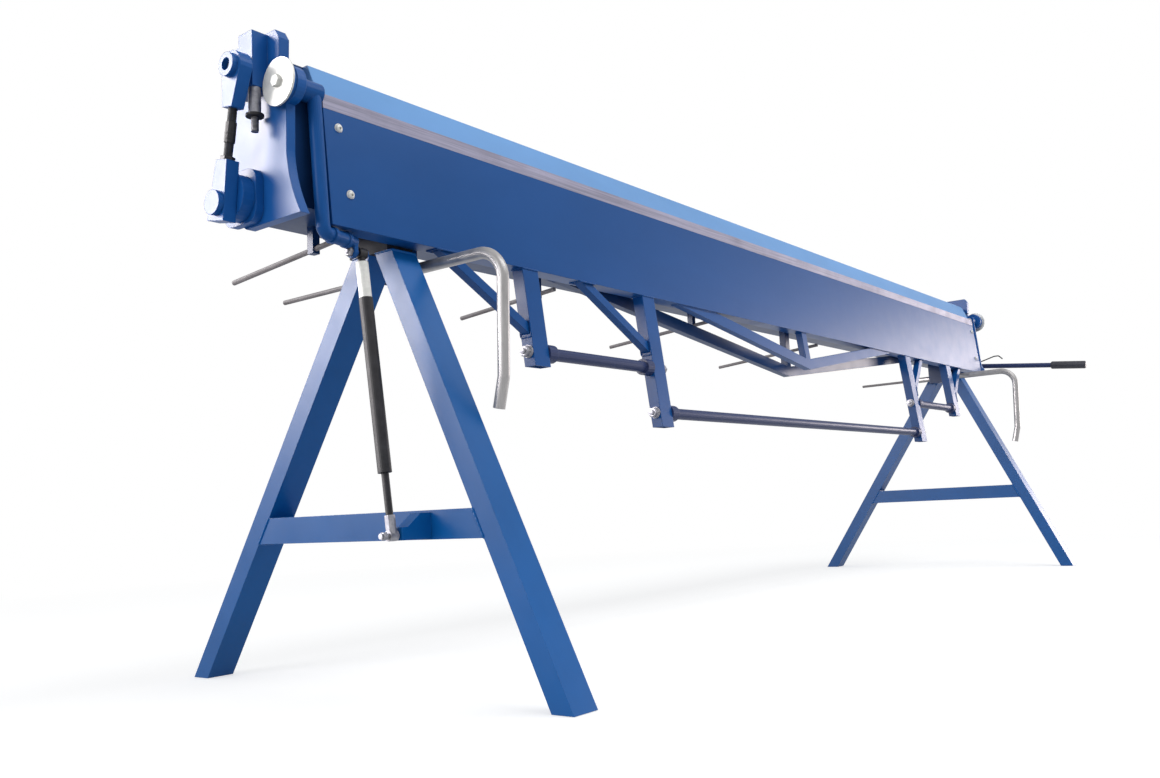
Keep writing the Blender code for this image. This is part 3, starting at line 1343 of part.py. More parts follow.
def build_drive(place):
    place("torsion_shaft", torsion_shaft(), "zinc_steel", "clamp_shaft")
    place("lever_bar", lever_bar(), "zinc_steel", "clamp_shaft")
    place("lever_grip", lever_grip(), "black_plastic", "clamp_shaft")
    for name, side in SIDES:
        place(name + "_crank", crank(side), "dark_steel", "clamp_shaft")
        place(name + "_link_upper_eye", link_upper_eye(side), "blue_paint", name + "_link")
        place(name + "_link_lower_eye", link_lower_eye(side), "blue_paint", name + "_link")
        place(name + "_link_sleeve", link_sleeve(side), "dark_steel", name + "_sleeve")


def build_strut(place):
    place("strut_cylinder", strut_cylinder(), "dark_steel", "strut_cylinder")
    place("strut_shroud", strut_shroud(), "chrome", "strut_cylinder")
    place("strut_rod", strut_rod(), "dark_steel", "strut_rod")
    place("strut_clevis", strut_clevis(), "chrome", "strut_rod")


def build_loose_pieces(place):
    for (name, side), tail_reach in zip(SIDES, TAIL_REACHES):
        place(name + "_handle", handle(side, tail_reach), "chrome", name + "_handle")
    for count, (x, tip) in enumerate(zip(SUPPORT_ROD_PLACES, SUPPORT_ROD_TIPS), 1):
        name = f"support_rod_{count}"
        place(name, support_rod(x, tip), "zinc_steel", name)
    place("lever_hook", lever_hook(), "dark_steel", "lever_hook")


def main():
    clear_scene()
    place = placer(frame_empties())
    build_stand(place)
    build_leaf(place)
    build_clamp(place)
    build_drive(place)
    build_strut(place)
    build_loose_pieces(place)


main()
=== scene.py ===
import math

import bpy
from mathutils import Matrix, Vector


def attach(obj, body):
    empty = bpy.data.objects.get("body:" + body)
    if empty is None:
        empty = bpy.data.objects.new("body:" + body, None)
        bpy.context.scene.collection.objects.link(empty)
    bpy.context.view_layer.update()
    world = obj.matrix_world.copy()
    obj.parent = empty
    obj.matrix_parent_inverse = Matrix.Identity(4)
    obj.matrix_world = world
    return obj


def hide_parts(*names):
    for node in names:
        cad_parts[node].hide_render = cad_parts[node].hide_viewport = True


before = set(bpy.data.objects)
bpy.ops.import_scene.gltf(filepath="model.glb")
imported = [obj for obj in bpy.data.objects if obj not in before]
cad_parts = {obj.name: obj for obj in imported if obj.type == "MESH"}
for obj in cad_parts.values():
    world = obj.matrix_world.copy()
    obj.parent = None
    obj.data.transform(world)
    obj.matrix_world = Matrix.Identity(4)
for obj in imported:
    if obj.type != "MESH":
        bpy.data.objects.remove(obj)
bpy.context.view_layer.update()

# Points below are set out from the leaf's middle in x and from the middle between the feet in y.
# This is added to each of them for its place in the frame.
CENTRE = Vector((-0.01415, 0.021697, 0))

NEAR = -1
FAR = 1
SIDES = (("near", NEAR), ("far", FAR))

# The leaf: its front face goes back as it rises. Its screws are given by x and z.
LEAF_BOTTOM = 0.7997
LEAF_BOTTOM_Y = -0.166
LEAF_SLOPE = 0.019 / 0.207
LEAF_SCREWS = ((1.702, 0.977), (1.688, 0.860))

# The brackets, braces and grip bars, which lie in a leaning plane under the leaf
LEAN = 0.118
LEAN_TOP_Y = -0.152
OUTER_X = {NEAR: 1.228, FAR: 1.305}
INNER_X = {NEAR: 0.800, FAR: 0.872}
BRACKET_HALF = 0.024
BRACKET_DEPTH = 0.028
BRACE_REACH = {NEAR: 0.235, FAR: 0.150}
BRACE_DROP = 0.127
SIDE_BAR_Z = 0.627
CENTRE_BAR_Z = 0.521

# The lower beam, and the V trusses and posts under the beam and the leaf
BEAM_BOTTOM = 0.835
TRUSS_SHIFT = 0.035
BEAM_TRUSS_X = (1.055, 1.285)
BEAM_TRUSS_Y = (-0.107, -0.087)
BEAM_POST_HALF = 0.012
LEAF_TRUSS_X = (0.515, 0.695)
LEAF_TRUSS_HALF = 0.010
LEAF_POST_HALF = 0.015

# The trestles: y of the outer edges at the foot and at the top, and the legs' section
TRESTLE_X = 1.544
TRESTLE_TOP = 0.790
FOOT = 0.505
FRONT_LEG_TOP_Y = -0.133
BACK_LEG_TOP_Y = -0.026
LEG_WIDTH = 0.040
LEG_HALF = 0.030
CROSSBAR_LOW = 0.270
CROSSBAR_HIGH = 0.320
SADDLE_BOLT_INSET = 0.031
SADDLE_BOLTS_Y = (-0.096, -0.046)
SADDLE_BOLT_Z = 0.8125

# The bent handles: a tube that runs forward, turns down and is bent back a little, and the rod behind it
HANDLE_X = 1.485
HANDLE_BELOW_BEAM = 0.063
HANDLE_START_Y = 0.020
HANDLE_FORWARD = {NEAR: 0.322, FAR: 0.368}
HANDLE_KINK_BACK = 0.010
HANDLE_KINK_Z = 0.545
HANDLE_TIP_BACK = 0.024
HANDLE_TIP_Z = 0.490
HANDLE_BENDS = (0.055, 0.030)
HANDLE_RADIUS = 0.011
HANDLE_BORE_RADIUS = 0.009
HANDLE_BORE_DEPTH = 0.030
HANDLE_SIDES = 32
TAIL_REACH = {NEAR: 0.300, FAR: 0.265}
TAIL_START_Y = 0.019
TAIL_OVERLAP = 0.020
TAIL_RADIUS = 0.005

# The links and the stops at both ends: places along the link are measured down from its upper pin
LINK_X = 1.8476
LINK_TOP = Vector((0, -0.072, 1.064))
LINK_DOWN = Vector((0, 0.192746, -0.981249))
UPPER_THREAD = (0.0676, 0.0242)
LOWER_THREAD = (0.1250, 0.0238)
LINK_THREAD_RADIUS = 0.0078
LOCK_NUT_AT = 0.1485
SLEEVE_RIDGES = (0.1100, 0.1196)
RIDGE_RADIUS = 0.0093
RIDGE_HALF = 0.0012
STOP_X = 1.8165
STOP_Y = -0.075
STOP_RING_Z = 0.9908
STOP_THREAD_Z = 0.9870
STOP_THREAD_LENGTH = 0.0262
STOP_THREAD_RADIUS = 0.0066
STRUT_NUT_AT = (-1.6744, -0.1412, 0.7673)

# Radii of the weld beads, and how often and how deep they ripple
STRONG_BEAD = 0.0028
LEG_TOP_BEAD = 0.0026
BRACKET_BEAD = 0.0024
LIGHT_BEAD = 0.0022
THIN_BEAD = 0.0020
RIPPLE_STEP = 0.0022
RIPPLE_SHARE = 0.14

# Degrees between two faces from which their edge is sharp
PIECE_SMOOTH = 35
THREAD_SMOOTH = 30
WELD_SMOOTH = 60

# Profiles of turned pieces: distance along the axis, radius, and corners, 6 for a hexagon and 0 for round
BAR_WASHER = (
    (-0.0006, 0.0130, 0), (0.0002, 0.0136, 0), (0.0022, 0.0136, 0), (0.0028, 0.0130, 0))
BAR_SPACER = (
    (0.0020, 0.0119, 0), (0.0028, 0.0123, 0), (0.0046, 0.0123, 0), (0.0050, 0.0117, 0))
BAR_NUT_AT = 0.0046
LOCK_NUT = ((0, 0.0098, 6), (0.0006, 0.0104, 6), (0.0066, 0.0104, 6))
SLEEVE_RIDGE = (
    (-0.0004, RIDGE_RADIUS - 0.0006, 0), (0, RIDGE_RADIUS, 0),
    (0.0024, RIDGE_RADIUS, 0), (0.0028, RIDGE_RADIUS - 0.0006, 0))
STOP_RING = ((-0.0004, 0.0146, 0), (0, 0.0152, 0), (0.0040, 0.0152, 0), (0.0044, 0.0146, 0))

# The studio: the camera was solved from the photograph, in its pixels
PHOTO_WIDTH = 1160
CAMERA_FOCAL = 1045.31
CAMERA_PLACE = (-2.83222, -1.51555, 0.31142)
CAMERA_YAW = 0.91435
CAMERA_PITCH = 0.11300
CAMERA_ROLL = -0.04869
SENSOR_WIDTH = 36.0
FLOOR_REACH = 40
FLOOR_BELOW = -0.001
FLOOR_TONE = 0.55
FLOOR_GLOW = 0.60
FLOOR_FADE = (2.0, 4.2)
WORLD_COLOUR = (0.96, 0.98, 1.0, 1)
WORLD_LIGHT = 0.54
WHITE = (1, 1, 1, 1)


def srgb(r, g, b):
    """Linear colour from 8-bit sRGB numbers."""
    out = []
    for value in (r, g, b):
        c = value / 255
        out.append(c / 12.92 if c <= 0.04045 else ((c + 0.055) / 1.055) ** 2.4)
    return (*out, 1)


# Materials

class Nodes:
    """A short way to lay out a material's nodes."""

    def __init__(self, tree):
        self.tree = tree
        tree.nodes.clear()

    def add(self, kind, inputs=None, **settings):
        node = self.tree.nodes.new(kind)
        for key, value in settings.items():
            setattr(node, key, value)
        for key, value in (inputs or {}).items():
            socket = node.inputs[key]
            if isinstance(value, bpy.types.NodeSocket):
                self.tree.links.new(value, socket)
            else:
                socket.default_value = value
        return node

    def math(self, operation, a, b=0.0):
        return self.add("ShaderNodeMath", {0: a, 1: b}, operation=operation).outputs[0]

    def range(self, value, low, high, to_low=0.0, to_high=1.0):
        """The value's band from low to high, stretched to another band and clamped to it."""
        settings = {"Value": value, "From Min": low, "From Max": high, "To Min": to_low, "To Max": to_high}
        return self.add("ShaderNodeMapRange", settings, clamp=True).outputs[0]

    def noise(self, place, scale, detail=4.0, rough=0.55, distortion=0.0):
        settings = {
            "Vector": place, "Scale": scale, "Detail": detail, "Roughness": rough, "Distortion": distortion}
        return self.add("ShaderNodeTexNoise", settings).outputs["Fac"]

    def bevel(self, radius, samples):
        return self.add("ShaderNodeBevel", {"Radius": radius}, samples=samples).outputs[0]

    def bump(self, strength, distance, height, normal=None):
        inputs = {"Strength": strength, "Distance": distance, "Height": height}
        if normal:
            inputs["Normal"] = normal
        return self.add("ShaderNodeBump", inputs).outputs[0]

    def surface(self, **inputs):
        """The material's one shader: underscores in a socket's name stand for spaces."""
        sockets = {key.replace("_", " "): value for key, value in inputs.items()}
        shader = self.add("ShaderNodeBsdfPrincipled", sockets)
        self.add("ShaderNodeOutputMaterial", {"Surface": shader.outputs[0]})

    def object_place(self):
        return self.add("ShaderNodeTexCoord").outputs["Object"]

    def seen(self):
        """1 for the camera's, glossy and transmission rays, 0 for the rays that light the object."""
        path = self.add("ShaderNodeLightPath")
        either = self.math("MAXIMUM", path.outputs["Is Camera Ray"], path.outputs["Is Glossy Ray"])
        return self.math("MAXIMUM", either, path.outputs["Is Transmission Ray"])

    def mix(self, factor, a, b):
        node = self.add("ShaderNodeMix", {"Factor": factor}, data_type="RGBA")
        for index, value in ((6, a), (7, b)):
            if isinstance(value, bpy.types.NodeSocket):
                self.tree.links.new(value, node.inputs[index])
            else:
                node.inputs[index].default_value = value
        return node.outputs[2]

    def stretched(self, place, scale):
        return self.add("ShaderNodeMapping", {"Vector": place, "Scale": scale}).outputs[0]


def new_material(name):
    """An empty material and its nodes."""
    material = bpy.data.materials.new(name)
    material.use_nodes = True
    return material, Nodes(material.node_tree)


def shade(base, share, lift=0.0):
    """The colour times a share, lifted a little and never past white."""
    return tuple(min(1, c * share + lift) for c in base[:3]) + (1,)


def edge_mask(n, radius):
    """1 on sharp outer edges, 0 on flat faces."""
    soft = n.bevel(radius, samples=4)
    hard = n.add("ShaderNodeNewGeometry").outputs["Normal"]
    dot = n.add("ShaderNodeVectorMath", {0: soft, 1: hard}, operation="DOT_PRODUCT").outputs["Value"]
    return n.range(dot, low=0.90, high=0.995, to_low=1.0, to_high=0.0)


def enamel(name, colour, roughness=0.36, specular=0.12, coat=0.02, wear=0.35, streak=(1, 1, 1),
           soft=0.0016, peel=0.10):
    """Sprayed enamel: cloudy colour, mottle, rubbed edges, fine scuffs and orange peel."""
    material, n = new_material(name)
    place = n.object_place()
    base = srgb(*colour)
    light = shade(base, 1.12, 0.002)
    cloud = n.noise(n.stretched(place, streak), scale=2.6, detail=5.0, rough=0.6, distortion=0.4)
    tint = n.mix(n.range(cloud, low=0.30, high=0.70), shade(base, 0.88), light)
    mottle = n.noise(place, scale=38.0, detail=3.0)
    tint = n.mix(n.range(mottle, low=0.35, high=0.75, to_high=0.12), tint, light)
    # Rubbed edges show paler paint
    edge = edge_mask(n, soft * 1.4)
    patch = n.noise(place, scale=55.0, detail=6.0, rough=0.7)
    rubbed = n.math("MULTIPLY", edge, n.range(patch, low=0.44, high=0.62, to_high=wear))
    pale = shade(base, 0.65, 0.16)
    tint = n.mix(rubbed, tint, pale)
    # Fine scuffs
    scuff_place = n.stretched(place, (9.0, 40.0, 130.0))
    scuff = n.noise(scuff_place, scale=3.0, detail=8.0, rough=0.75, distortion=1.2)
    tint = n.mix(n.range(scuff, low=0.66, high=0.76, to_high=0.05), tint, pale)
    # The gloss changes over the face, and is dull where the paint is rubbed
    shine = n.noise(place, scale=14.0, detail=5.0, rough=0.6)
    rough = n.range(shine, low=0.25, high=0.75, to_low=roughness - 0.03, to_high=roughness + 0.05)
    rough = n.math("ADD", rough, n.math("MULTIPLY", rubbed, 0.25))
    # Orange peel on long waves
    dimples = n.noise(place, scale=420.0, detail=2.0, rough=0.5)
    wave = n.noise(place, scale=9.0, detail=2.0, rough=0.5)
    height = n.math("ADD", n.math("MULTIPLY", dimples, peel), wave)
    normal = n.bump(strength=0.22, distance=0.0014, height=height, normal=n.bevel(soft, samples=6))
    n.surface(Base_Color=tint, Roughness=rough, Normal=normal, Specular_IOR_Level=specular,
              Coat_Weight=coat, Coat_Roughness=0.16)
    return material


def steel(name, colour, roughness, metallic=1.0, grain=(1, 1, 1), stain=0.25, depth=0.38,
          stain_colour=(70, 62, 58), specular=0.5):
    """Bare or plated metal with a grain that runs one way, cloudy stains and worn bright edges."""
    material, n = new_material(name)
    place = n.object_place()
    base = srgb(*colour)
    bright = shade(base, 1 + depth / 2, 0.01)
    lines = n.noise(n.stretched(place, grain), scale=60.0, detail=6.0, rough=0.7)
    tint = n.mix(n.range(lines, low=0.32, high=0.68), shade(base, 1 - depth), bright)
    cloud = n.noise(place, scale=11.0, detail=6.0, rough=0.65, distortion=0.5)
    tint = n.mix(n.range(cloud, low=0.50, high=0.72, to_high=stain), tint, srgb(*stain_colour))
    edge = edge_mask(n, radius=0.0012)
    tint = n.mix(n.math("MULTIPLY", edge, 0.35), tint, bright)
    both = n.math("ADD", lines, cloud)
    rough = n.range(both, low=0.7, high=1.3, to_low=roughness - 0.06, to_high=roughness + 0.14)
    normal = n.bump(strength=0.25, distance=0.0004, height=lines, normal=n.bevel(0.0008, samples=4))
    n.surface(Base_Color=tint, Metallic=metallic, Roughness=rough, Normal=normal,
              Specular_IOR_Level=specular)
    return material


def plastic(name, colour, roughness):
    """Moulded plastic with a fine pebble and rubbed high spots."""
    material, n = new_material(name)
    place = n.object_place()
    base = srgb(*colour)
    cloud = n.noise(place, scale=24.0, detail=4.0)
    tint = n.mix(n.range(cloud, low=0.35, high=0.7), base, shade(base, 1.8, 0.01))
    pebble = n.noise(place, scale=900.0, detail=2.0)
    rough = n.range(cloud, low=0.3, high=0.7, to_low=roughness - 0.08, to_high=roughness + 0.10)
    n.surface(Base_Color=tint, Roughness=rough, Normal=n.bump(strength=0.3, distance=0.0003, height=pebble))
    return material


# The finish of each material slot of the record
FINISHES = {
    "frame_paint": enamel("frame_enamel", (26, 62, 112)),
    "leaf_paint": enamel(
        "leaf_enamel", (18, 78, 144), roughness=0.34, coat=0, wear=0.25, streak=(0.35, 1, 1)),
    "leg_paint": enamel(
        "leg_enamel", (6, 92, 164), specular=0.17, coat=0, wear=0.45, soft=0.0006, peel=0.01),
    "plate_paint": enamel("plate_enamel", (14, 84, 156), roughness=0.42, specular=0.20),
    "nose_paint": enamel("nose_enamel", (108, 158, 214), roughness=0.42, wear=0.2, streak=(0.3, 1, 1)),
    "grip_bar_paint": enamel("grip_enamel", (50, 62, 102), wear=0.5),
    "blade_steel": steel(
        "blade_steel_worn", (150, 148, 170), 0.50, metallic=0.3, grain=(0.06, 3, 3), stain=0.15),
    "zinc_steel": steel(
        "zinc_plate", (150, 150, 158), 0.46, metallic=0.7, grain=(2, 2, 2), stain=0.15,
        stain_colour=(112, 104, 90)),
    "rod_steel": steel(
        "drawn_rod", (150, 144, 146), 0.55, metallic=0, grain=(2, 0.2, 2), stain=0.2,
        stain_colour=(92, 84, 78), specular=0.15),
    "bright_steel": steel(
        "bright_plate", (214, 214, 210), 0.50, metallic=0.3, grain=(2, 2, 2), stain=0.05, depth=0.12),
    "tube_chrome": steel(
        "tube_plate", (162, 160, 160), 0.36, metallic=0.6, grain=(1, 1, 0.2), stain=0.10, depth=0.16),
    "dark_steel": steel(
        "dark_cap", (34, 38, 52), 0.62, metallic=0, grain=(1, 0.1, 1), stain=0.2, specular=0.15),
    "black_steel": steel(
        "blackened_steel", (30, 30, 36), 0.50, metallic=0, stain=0.2, stain_colour=(52, 44, 38),
        specular=0.3),
    "grip_plastic": plastic("grip_plastic_black", (26, 28, 38), 0.48),
}

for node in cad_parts.values():
    for material_slot in node.material_slots:
        material_slot.material = FINISHES[material_slot.material.name.split(".")[0]]


# Meshes

def piece_from(name, verts, faces, slot, body, smooth=PIECE_SMOOTH):
    """A named piece of machine points, painted with a slot's finish and riding on a body."""
    mesh = bpy.data.meshes.new(name)
    mesh.from_pydata([tuple(Vector(v) + CENTRE) for v in verts], [], faces)
    mesh.validate()
    mesh.materials.append(FINISHES[slot])
    mesh.shade_smooth()
    mesh.set_sharp_from_angle(angle=math.radians(smooth))
    piece = bpy.data.objects.new(name, mesh)
    bpy.context.scene.collection.objects.link(piece)
    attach(piece, body)
    return piece


def axes_of(direction):
    """The direction and two axes across it."""
    aim = Vector(direction).normalized()
    steep = 0.9
    guide = Vector((0, 0, 1)) if abs(aim.z) < steep else Vector((1, 0, 0))
    first = aim.cross(guide).normalized()
    return aim, first, aim.cross(first)


def circle(middle, first, second, radius, sides):
    """A loop of points round a middle, in the plane of two axes."""
    loop = []
    for k in range(sides):
        turn = 2 * math.pi * k / sides
        loop.append(middle + (first * math.cos(turn) + second * math.sin(turn)) * radius)
    return loop


class Shape:
    """Points and faces of one piece, to which turned forms, bars and beads are added."""

    def __init__(self):
        self.verts = []
        self.faces = []

    def loops(self, loops):
        """A skin over loops of equal length, closed by the first and the last one."""
        count = len(loops[0])
        start = len(self.verts)
        for loop in loops:
            self.verts.extend(loop)
        for band in range(len(loops) - 1):
            low = start + band * count
            for i in range(count):
                j = (i + 1) % count
                self.faces.append((low + i, low + count + i, low + count + j, low + j))
        self.faces.append(tuple(start + i for i in range(count)))
        last = start + (len(loops) - 1) * count
        self.faces.append(tuple(reversed([last + i for i in range(count)])))

    def turned(self, start, direction, profile, sides=28):
        """A turned form: profile is (distance, radius, corners), where corners 6 is a hexagon."""
        aim, first, second = axes_of(direction)
        loops = []
        for distance, radius, corners in profile:
            loop = []
            for i in range(sides):
                turn = 2 * math.pi * i / sides
                reach = radius
                if corners:
                    step = 2 * math.pi / corners
                    reach = radius / math.cos((turn % step) - step / 2)
                side = first * math.cos(turn) + second * math.sin(turn)
                loop.append(Vector(start) + aim * distance + side * reach)
            loops.append(loop)
        self.loops(loops)

    def tube(self, path, radii, sides, turning=None):
        """A round bar along a path, with a radius at each point.

        The loops after the first turning ones keep the axes of the last of those.
        """
        turning = turning or len(path)
        aim, first, second = axes_of(path[1] - path[0])
        loops = []
        for i, point in enumerate(path):
            if i < turning:
                ahead = (path[min(i + 1, turning - 1)] - path[max(i - 1, 0)]).normalized()
                first = (first - ahead * first.dot(ahead)).normalized()
                second = ahead.cross(first)
            loops.append(circle(point, first, second, radii[i], sides))
        self.loops(loops)

    def bead(self, points, radius):
        """A weld bead along a broken line: round, with the ripple of its pools."""
        path, radii = [], []
        for a, b in zip(points, points[1:]):
            a, b = Vector(a), Vector(b)
            steps = max(4, int((b - a).length / RIPPLE_STEP))
            for i in range(steps):
                path.append(a.lerp(b, i / steps))
                wave = 0.5 + 0.5 * math.cos(math.pi * (len(path) % 4) / 2)
                radii.append(radius * (1 - RIPPLE_SHARE + RIPPLE_SHARE * wave))
        path.append(Vector(points[-1]))
        radii.append(radius / 2)
        radii[0] = radius / 2
        self.tube(path, radii, sides=8)

    def piece(self, name, slot, body, smooth=PIECE_SMOOTH):
        return piece_from(name, self.verts, self.faces, slot, body, smooth)


def hex_bolt(shape, point, direction, across=0.013, height=0.0065, washer=0.011):
    """A washer with a chamfered hexagon head on it."""
    radius = across / 2
    shape.turned(point, direction, [
        (-0.0006, washer * 0.97, 0), (0.0002, washer, 0),
        (0.0014, washer, 0), (0.0019, washer * 0.95, 0)], sides=32)
    shape.turned(point, direction, [
        (0.0012, radius * 0.96, 6), (0.0019, radius, 6), (height, radius, 6),
        (height + 0.0007, radius * 0.97, 0), (height + 0.0011, radius * 0.84, 0),
        (height + 0.0008, radius * 0.76, 0)], sides=36)


def hex_nut(shape, point, direction, across=0.017, height=0.010, stud=0.005, proud=0.004):
    """A nut with the end of its bolt standing out of it."""
    radius = across / 2
    shape.turned(point, direction, [
        (0, radius * 0.97, 6), (0.0008, radius, 6), (height - 0.001, radius, 6), (height, radius * 0.92, 0),
        (height, stud * 1.02, 0)], sides=36)
    shape.turned(point, direction, [
        (height - 0.002, stud, 0), (height + proud - 0.0008, stud, 0),
        (height + proud, stud * 0.8, 0)], sides=20)


def button_bolt(shape, point, direction, radius=0.0072):
    """A domed head with a hexagon socket, on a thin washer."""
    dome = []
    steps = 6
    for i in range(steps + 1):
        turn = math.radians(8 + 62 * i / steps)
        dome.append((0.0012 + radius * 0.62 * math.sin(turn), radius * math.cos(turn), 0))
    top = dome[-1][0]
    shape.turned(point, direction, [
        (-0.0006, radius * 1.16, 0), (0.0006, radius * 1.18, 0),
        (0.0011, radius * 1.12, 0), (0.0011, radius * 0.99, 0),
        *dome, (top + 0.0001, radius * 0.30, 6), (top - 0.0030, radius * 0.29, 6)], sides=36)


def lean_y(z):
    """The middle of the leaning plane under the leaf."""
    return LEAN_TOP_Y - LEAN * (LEAF_BOTTOM - z)


def leaf_face_y(z):
    """The leaf's sloping front face."""
    return LEAF_BOTTOM_Y + LEAF_SLOPE * (z - LEAF_BOTTOM)


# Bolts and nuts

LEAF_OUT = Vector((0, -1, -LEAF_SLOPE)).normalized()
for side_name, side in SIDES:
    heads = Shape()
    for x, z in LEAF_SCREWS:
        button_bolt(heads, (side * x, leaf_face_y(z), z), LEAF_OUT)
    heads.piece(side_name + "_leaf_screws", "bright_steel", "leaf")

    nuts = Shape()
    for x, z, way in (
            (OUTER_X[side] + BRACKET_HALF, SIDE_BAR_Z, 1), (INNER_X[side] - BRACKET_HALF, SIDE_BAR_Z, -1),
            (INNER_X[side] + BRACKET_HALF, CENTRE_BAR_Z, 1)):
        point = Vector((side * x, lean_y(z), z))
        outwards = Vector((side * way, 0, 0))
        nuts.turned(point, outwards, BAR_WASHER, sides=32)
        nuts.turned(point, outwards, BAR_SPACER, sides=32)
        hex_nut(nuts, point + outwards * BAR_NUT_AT, outwards, across=0.0205, height=0.0105, stud=0.006)
    nuts.piece(side_name + "_grip_bar_nuts", "zinc_steel", "leaf")

    saddle_bolts = Shape()
    for y in SADDLE_BOLTS_Y:
        hex_bolt(saddle_bolts, (side * (TRESTLE_X - SADDLE_BOLT_INSET), y, SADDLE_BOLT_Z), (-side, 0, 0))
    saddle_bolts.piece(side_name + "_saddle_bolts", "zinc_steel", "stand")


# Weld beads

def rectangle(x0, x1, y0, y1, z):
    """The closed outline of a level rectangle."""
    return [(x0, y0, z), (x1, y0, z), (x1, y1, z), (x0, y1, z), (x0, y0, z)]


def along_x(x0, x1, y, z):
    return [(x0, y, z), (x1, y, z)]


def leg_edge(foot_y, top_y, z):
    """y of a leg's outer edge at a height."""
    return foot_y + (top_y - foot_y) * z / TRESTLE_TOP


for side_name, side in SIDES:
    left = side * TRESTLE_X - LEG_HALF
    right = side * TRESTLE_X + LEG_HALF
    beads = Shape()
    for foot_y, top_y, inwards in ((-FOOT, FRONT_LEG_TOP_Y, 1), (FOOT, BACK_LEG_TOP_Y, -1)):
        # A leaning leg is wider along the floor than across itself
        across = inwards * LEG_WIDTH * math.hypot(1, (top_y - foot_y) / TRESTLE_TOP)
        outer = leg_edge(foot_y, top_y, TRESTLE_TOP)
        beads.bead(along_x(left, right, outer, TRESTLE_TOP), LEG_TOP_BEAD)
        for x in (left, right):
            beads.bead([(x, outer, TRESTLE_TOP), (x, outer + across, TRESTLE_TOP)], LIGHT_BEAD)
        low_y = leg_edge(foot_y, top_y, CROSSBAR_LOW) + across
        high_y = leg_edge(foot_y, top_y, CROSSBAR_HIGH) + across
        for x in (left, right):
            beads.bead([(x, low_y, CROSSBAR_LOW), (x, high_y, CROSSBAR_HIGH)], STRONG_BEAD)
        beads.bead(along_x(left, right, low_y, CROSSBAR_LOW), STRONG_BEAD)
        beads.bead(along_x(left, right, high_y, CROSSBAR_HIGH), STRONG_BEAD)
    beads.piece(side_name + "_trestle_welds", "leg_paint", "stand", WELD_SMOOTH)

    beads = Shape()
    y = lean_y(LEAF_BOTTOM)
    half_depth = BRACKET_DEPTH / 2
    front, back = y - half_depth, y + half_depth
    for bracket_x in (OUTER_X[side], INNER_X[side]):
        middle = side * bracket_x
        top = rectangle(middle - BRACKET_HALF, middle + BRACKET_HALF, front, back, LEAF_BOTTOM)
        beads.bead(top, BRACKET_BEAD)
        # The brace's foot on the bracket, and its top under the leaf
        run = BRACE_REACH[side] - BRACKET_HALF
        slope = math.hypot(run, BRACE_DROP)
        foot_x = side * (bracket_x + BRACKET_HALF)
        brace_middle = LEAF_BOTTOM - BRACE_DROP
        low = brace_middle - half_depth * slope / run
        high = brace_middle + half_depth * slope / run
        for dy in (-half_depth, half_depth):
            beads.bead([(foot_x, lean_y(low) + dy, low), (foot_x, lean_y(high) + dy, high)], BRACKET_BEAD)
        for level in (low, high):
            start_y = lean_y(level) - half_depth
            beads.bead([(foot_x, start_y, level), (foot_x, start_y + BRACKET_DEPTH, level)], BRACKET_BEAD)
        end = side * (bracket_x + BRACE_REACH[side])
        half_top = half_depth * slope / BRACE_DROP
        beads.bead(rectangle(end - half_top, end + half_top, front, back, LEAF_BOTTOM), LIGHT_BEAD)
    beads.piece(side_name + "_bracket_welds", "leaf_paint", "leaf", WELD_SMOOTH)

    beads = Shape()
    start, end = (side * x + TRUSS_SHIFT for x in BEAM_TRUSS_X)
    for truss_y in BEAM_TRUSS_Y:
        beads.bead(along_x(start, end, truss_y, BEAM_BOTTOM), LIGHT_BEAD)
    beads.piece(side_name + "_beam_truss_welds", "frame_paint", "stand", WELD_SMOOTH)

    beads = Shape()
    start, end = (side * x + TRUSS_SHIFT for x in LEAF_TRUSS_X)
    for truss_y in (y - LEAF_TRUSS_HALF, y + LEAF_TRUSS_HALF):
        beads.bead(along_x(start, end, truss_y, LEAF_BOTTOM), THIN_BEAD)
    beads.piece(side_name + "_leaf_truss_welds", "leaf_paint", "leaf", WELD_SMOOTH)


def post_weld(name, half, y_from, y_to, z, slot, body):
    """The bead round the head of a truss's middle post."""
    beads = Shape()
    beads.bead(rectangle(TRUSS_SHIFT - half, TRUSS_SHIFT + half, y_from, y_to, z), LIGHT_BEAD)
    beads.piece(name, slot, body, WELD_SMOOTH)


post_weld("beam_post_weld", BEAM_POST_HALF, *BEAM_TRUSS_Y, BEAM_BOTTOM, "frame_paint", "stand")
LEAF_POST_Y = lean_y(LEAF_BOTTOM)
post_weld("leaf_post_weld", LEAF_POST_HALF, LEAF_POST_Y - LEAF_TRUSS_HALF, LEAF_POST_Y + LEAF_TRUSS_HALF,
          LEAF_BOTTOM, "leaf_paint", "leaf")


# Bent handles, drawn smoother than their solids

def bent_path(points, radii, steps=14):
    """The line through the points, with an arc of its own radius at each corner."""
    path = [Vector(points[0])]
    for before, corner, after, radius in zip(points, points[1:], points[2:], radii):
        corner = Vector(corner)
        back = (Vector(before) - corner).normalized()
        ahead = (Vector(after) - corner).normalized()
        half = back.angle(ahead) / 2
        middle = corner + (back + ahead).normalized() * radius / math.sin(half)
        first = corner + back * radius / math.tan(half) - middle
        last = corner + ahead * radius / math.tan(half) - middle
        sweep = math.pi - 2 * half
        for step in range(steps + 1):
            part = sweep * step / steps
            path.append(middle + (first * math.sin(sweep - part) + last * math.sin(part)) / math.sin(sweep))
    path.append(Vector(points[-1]))
    return path


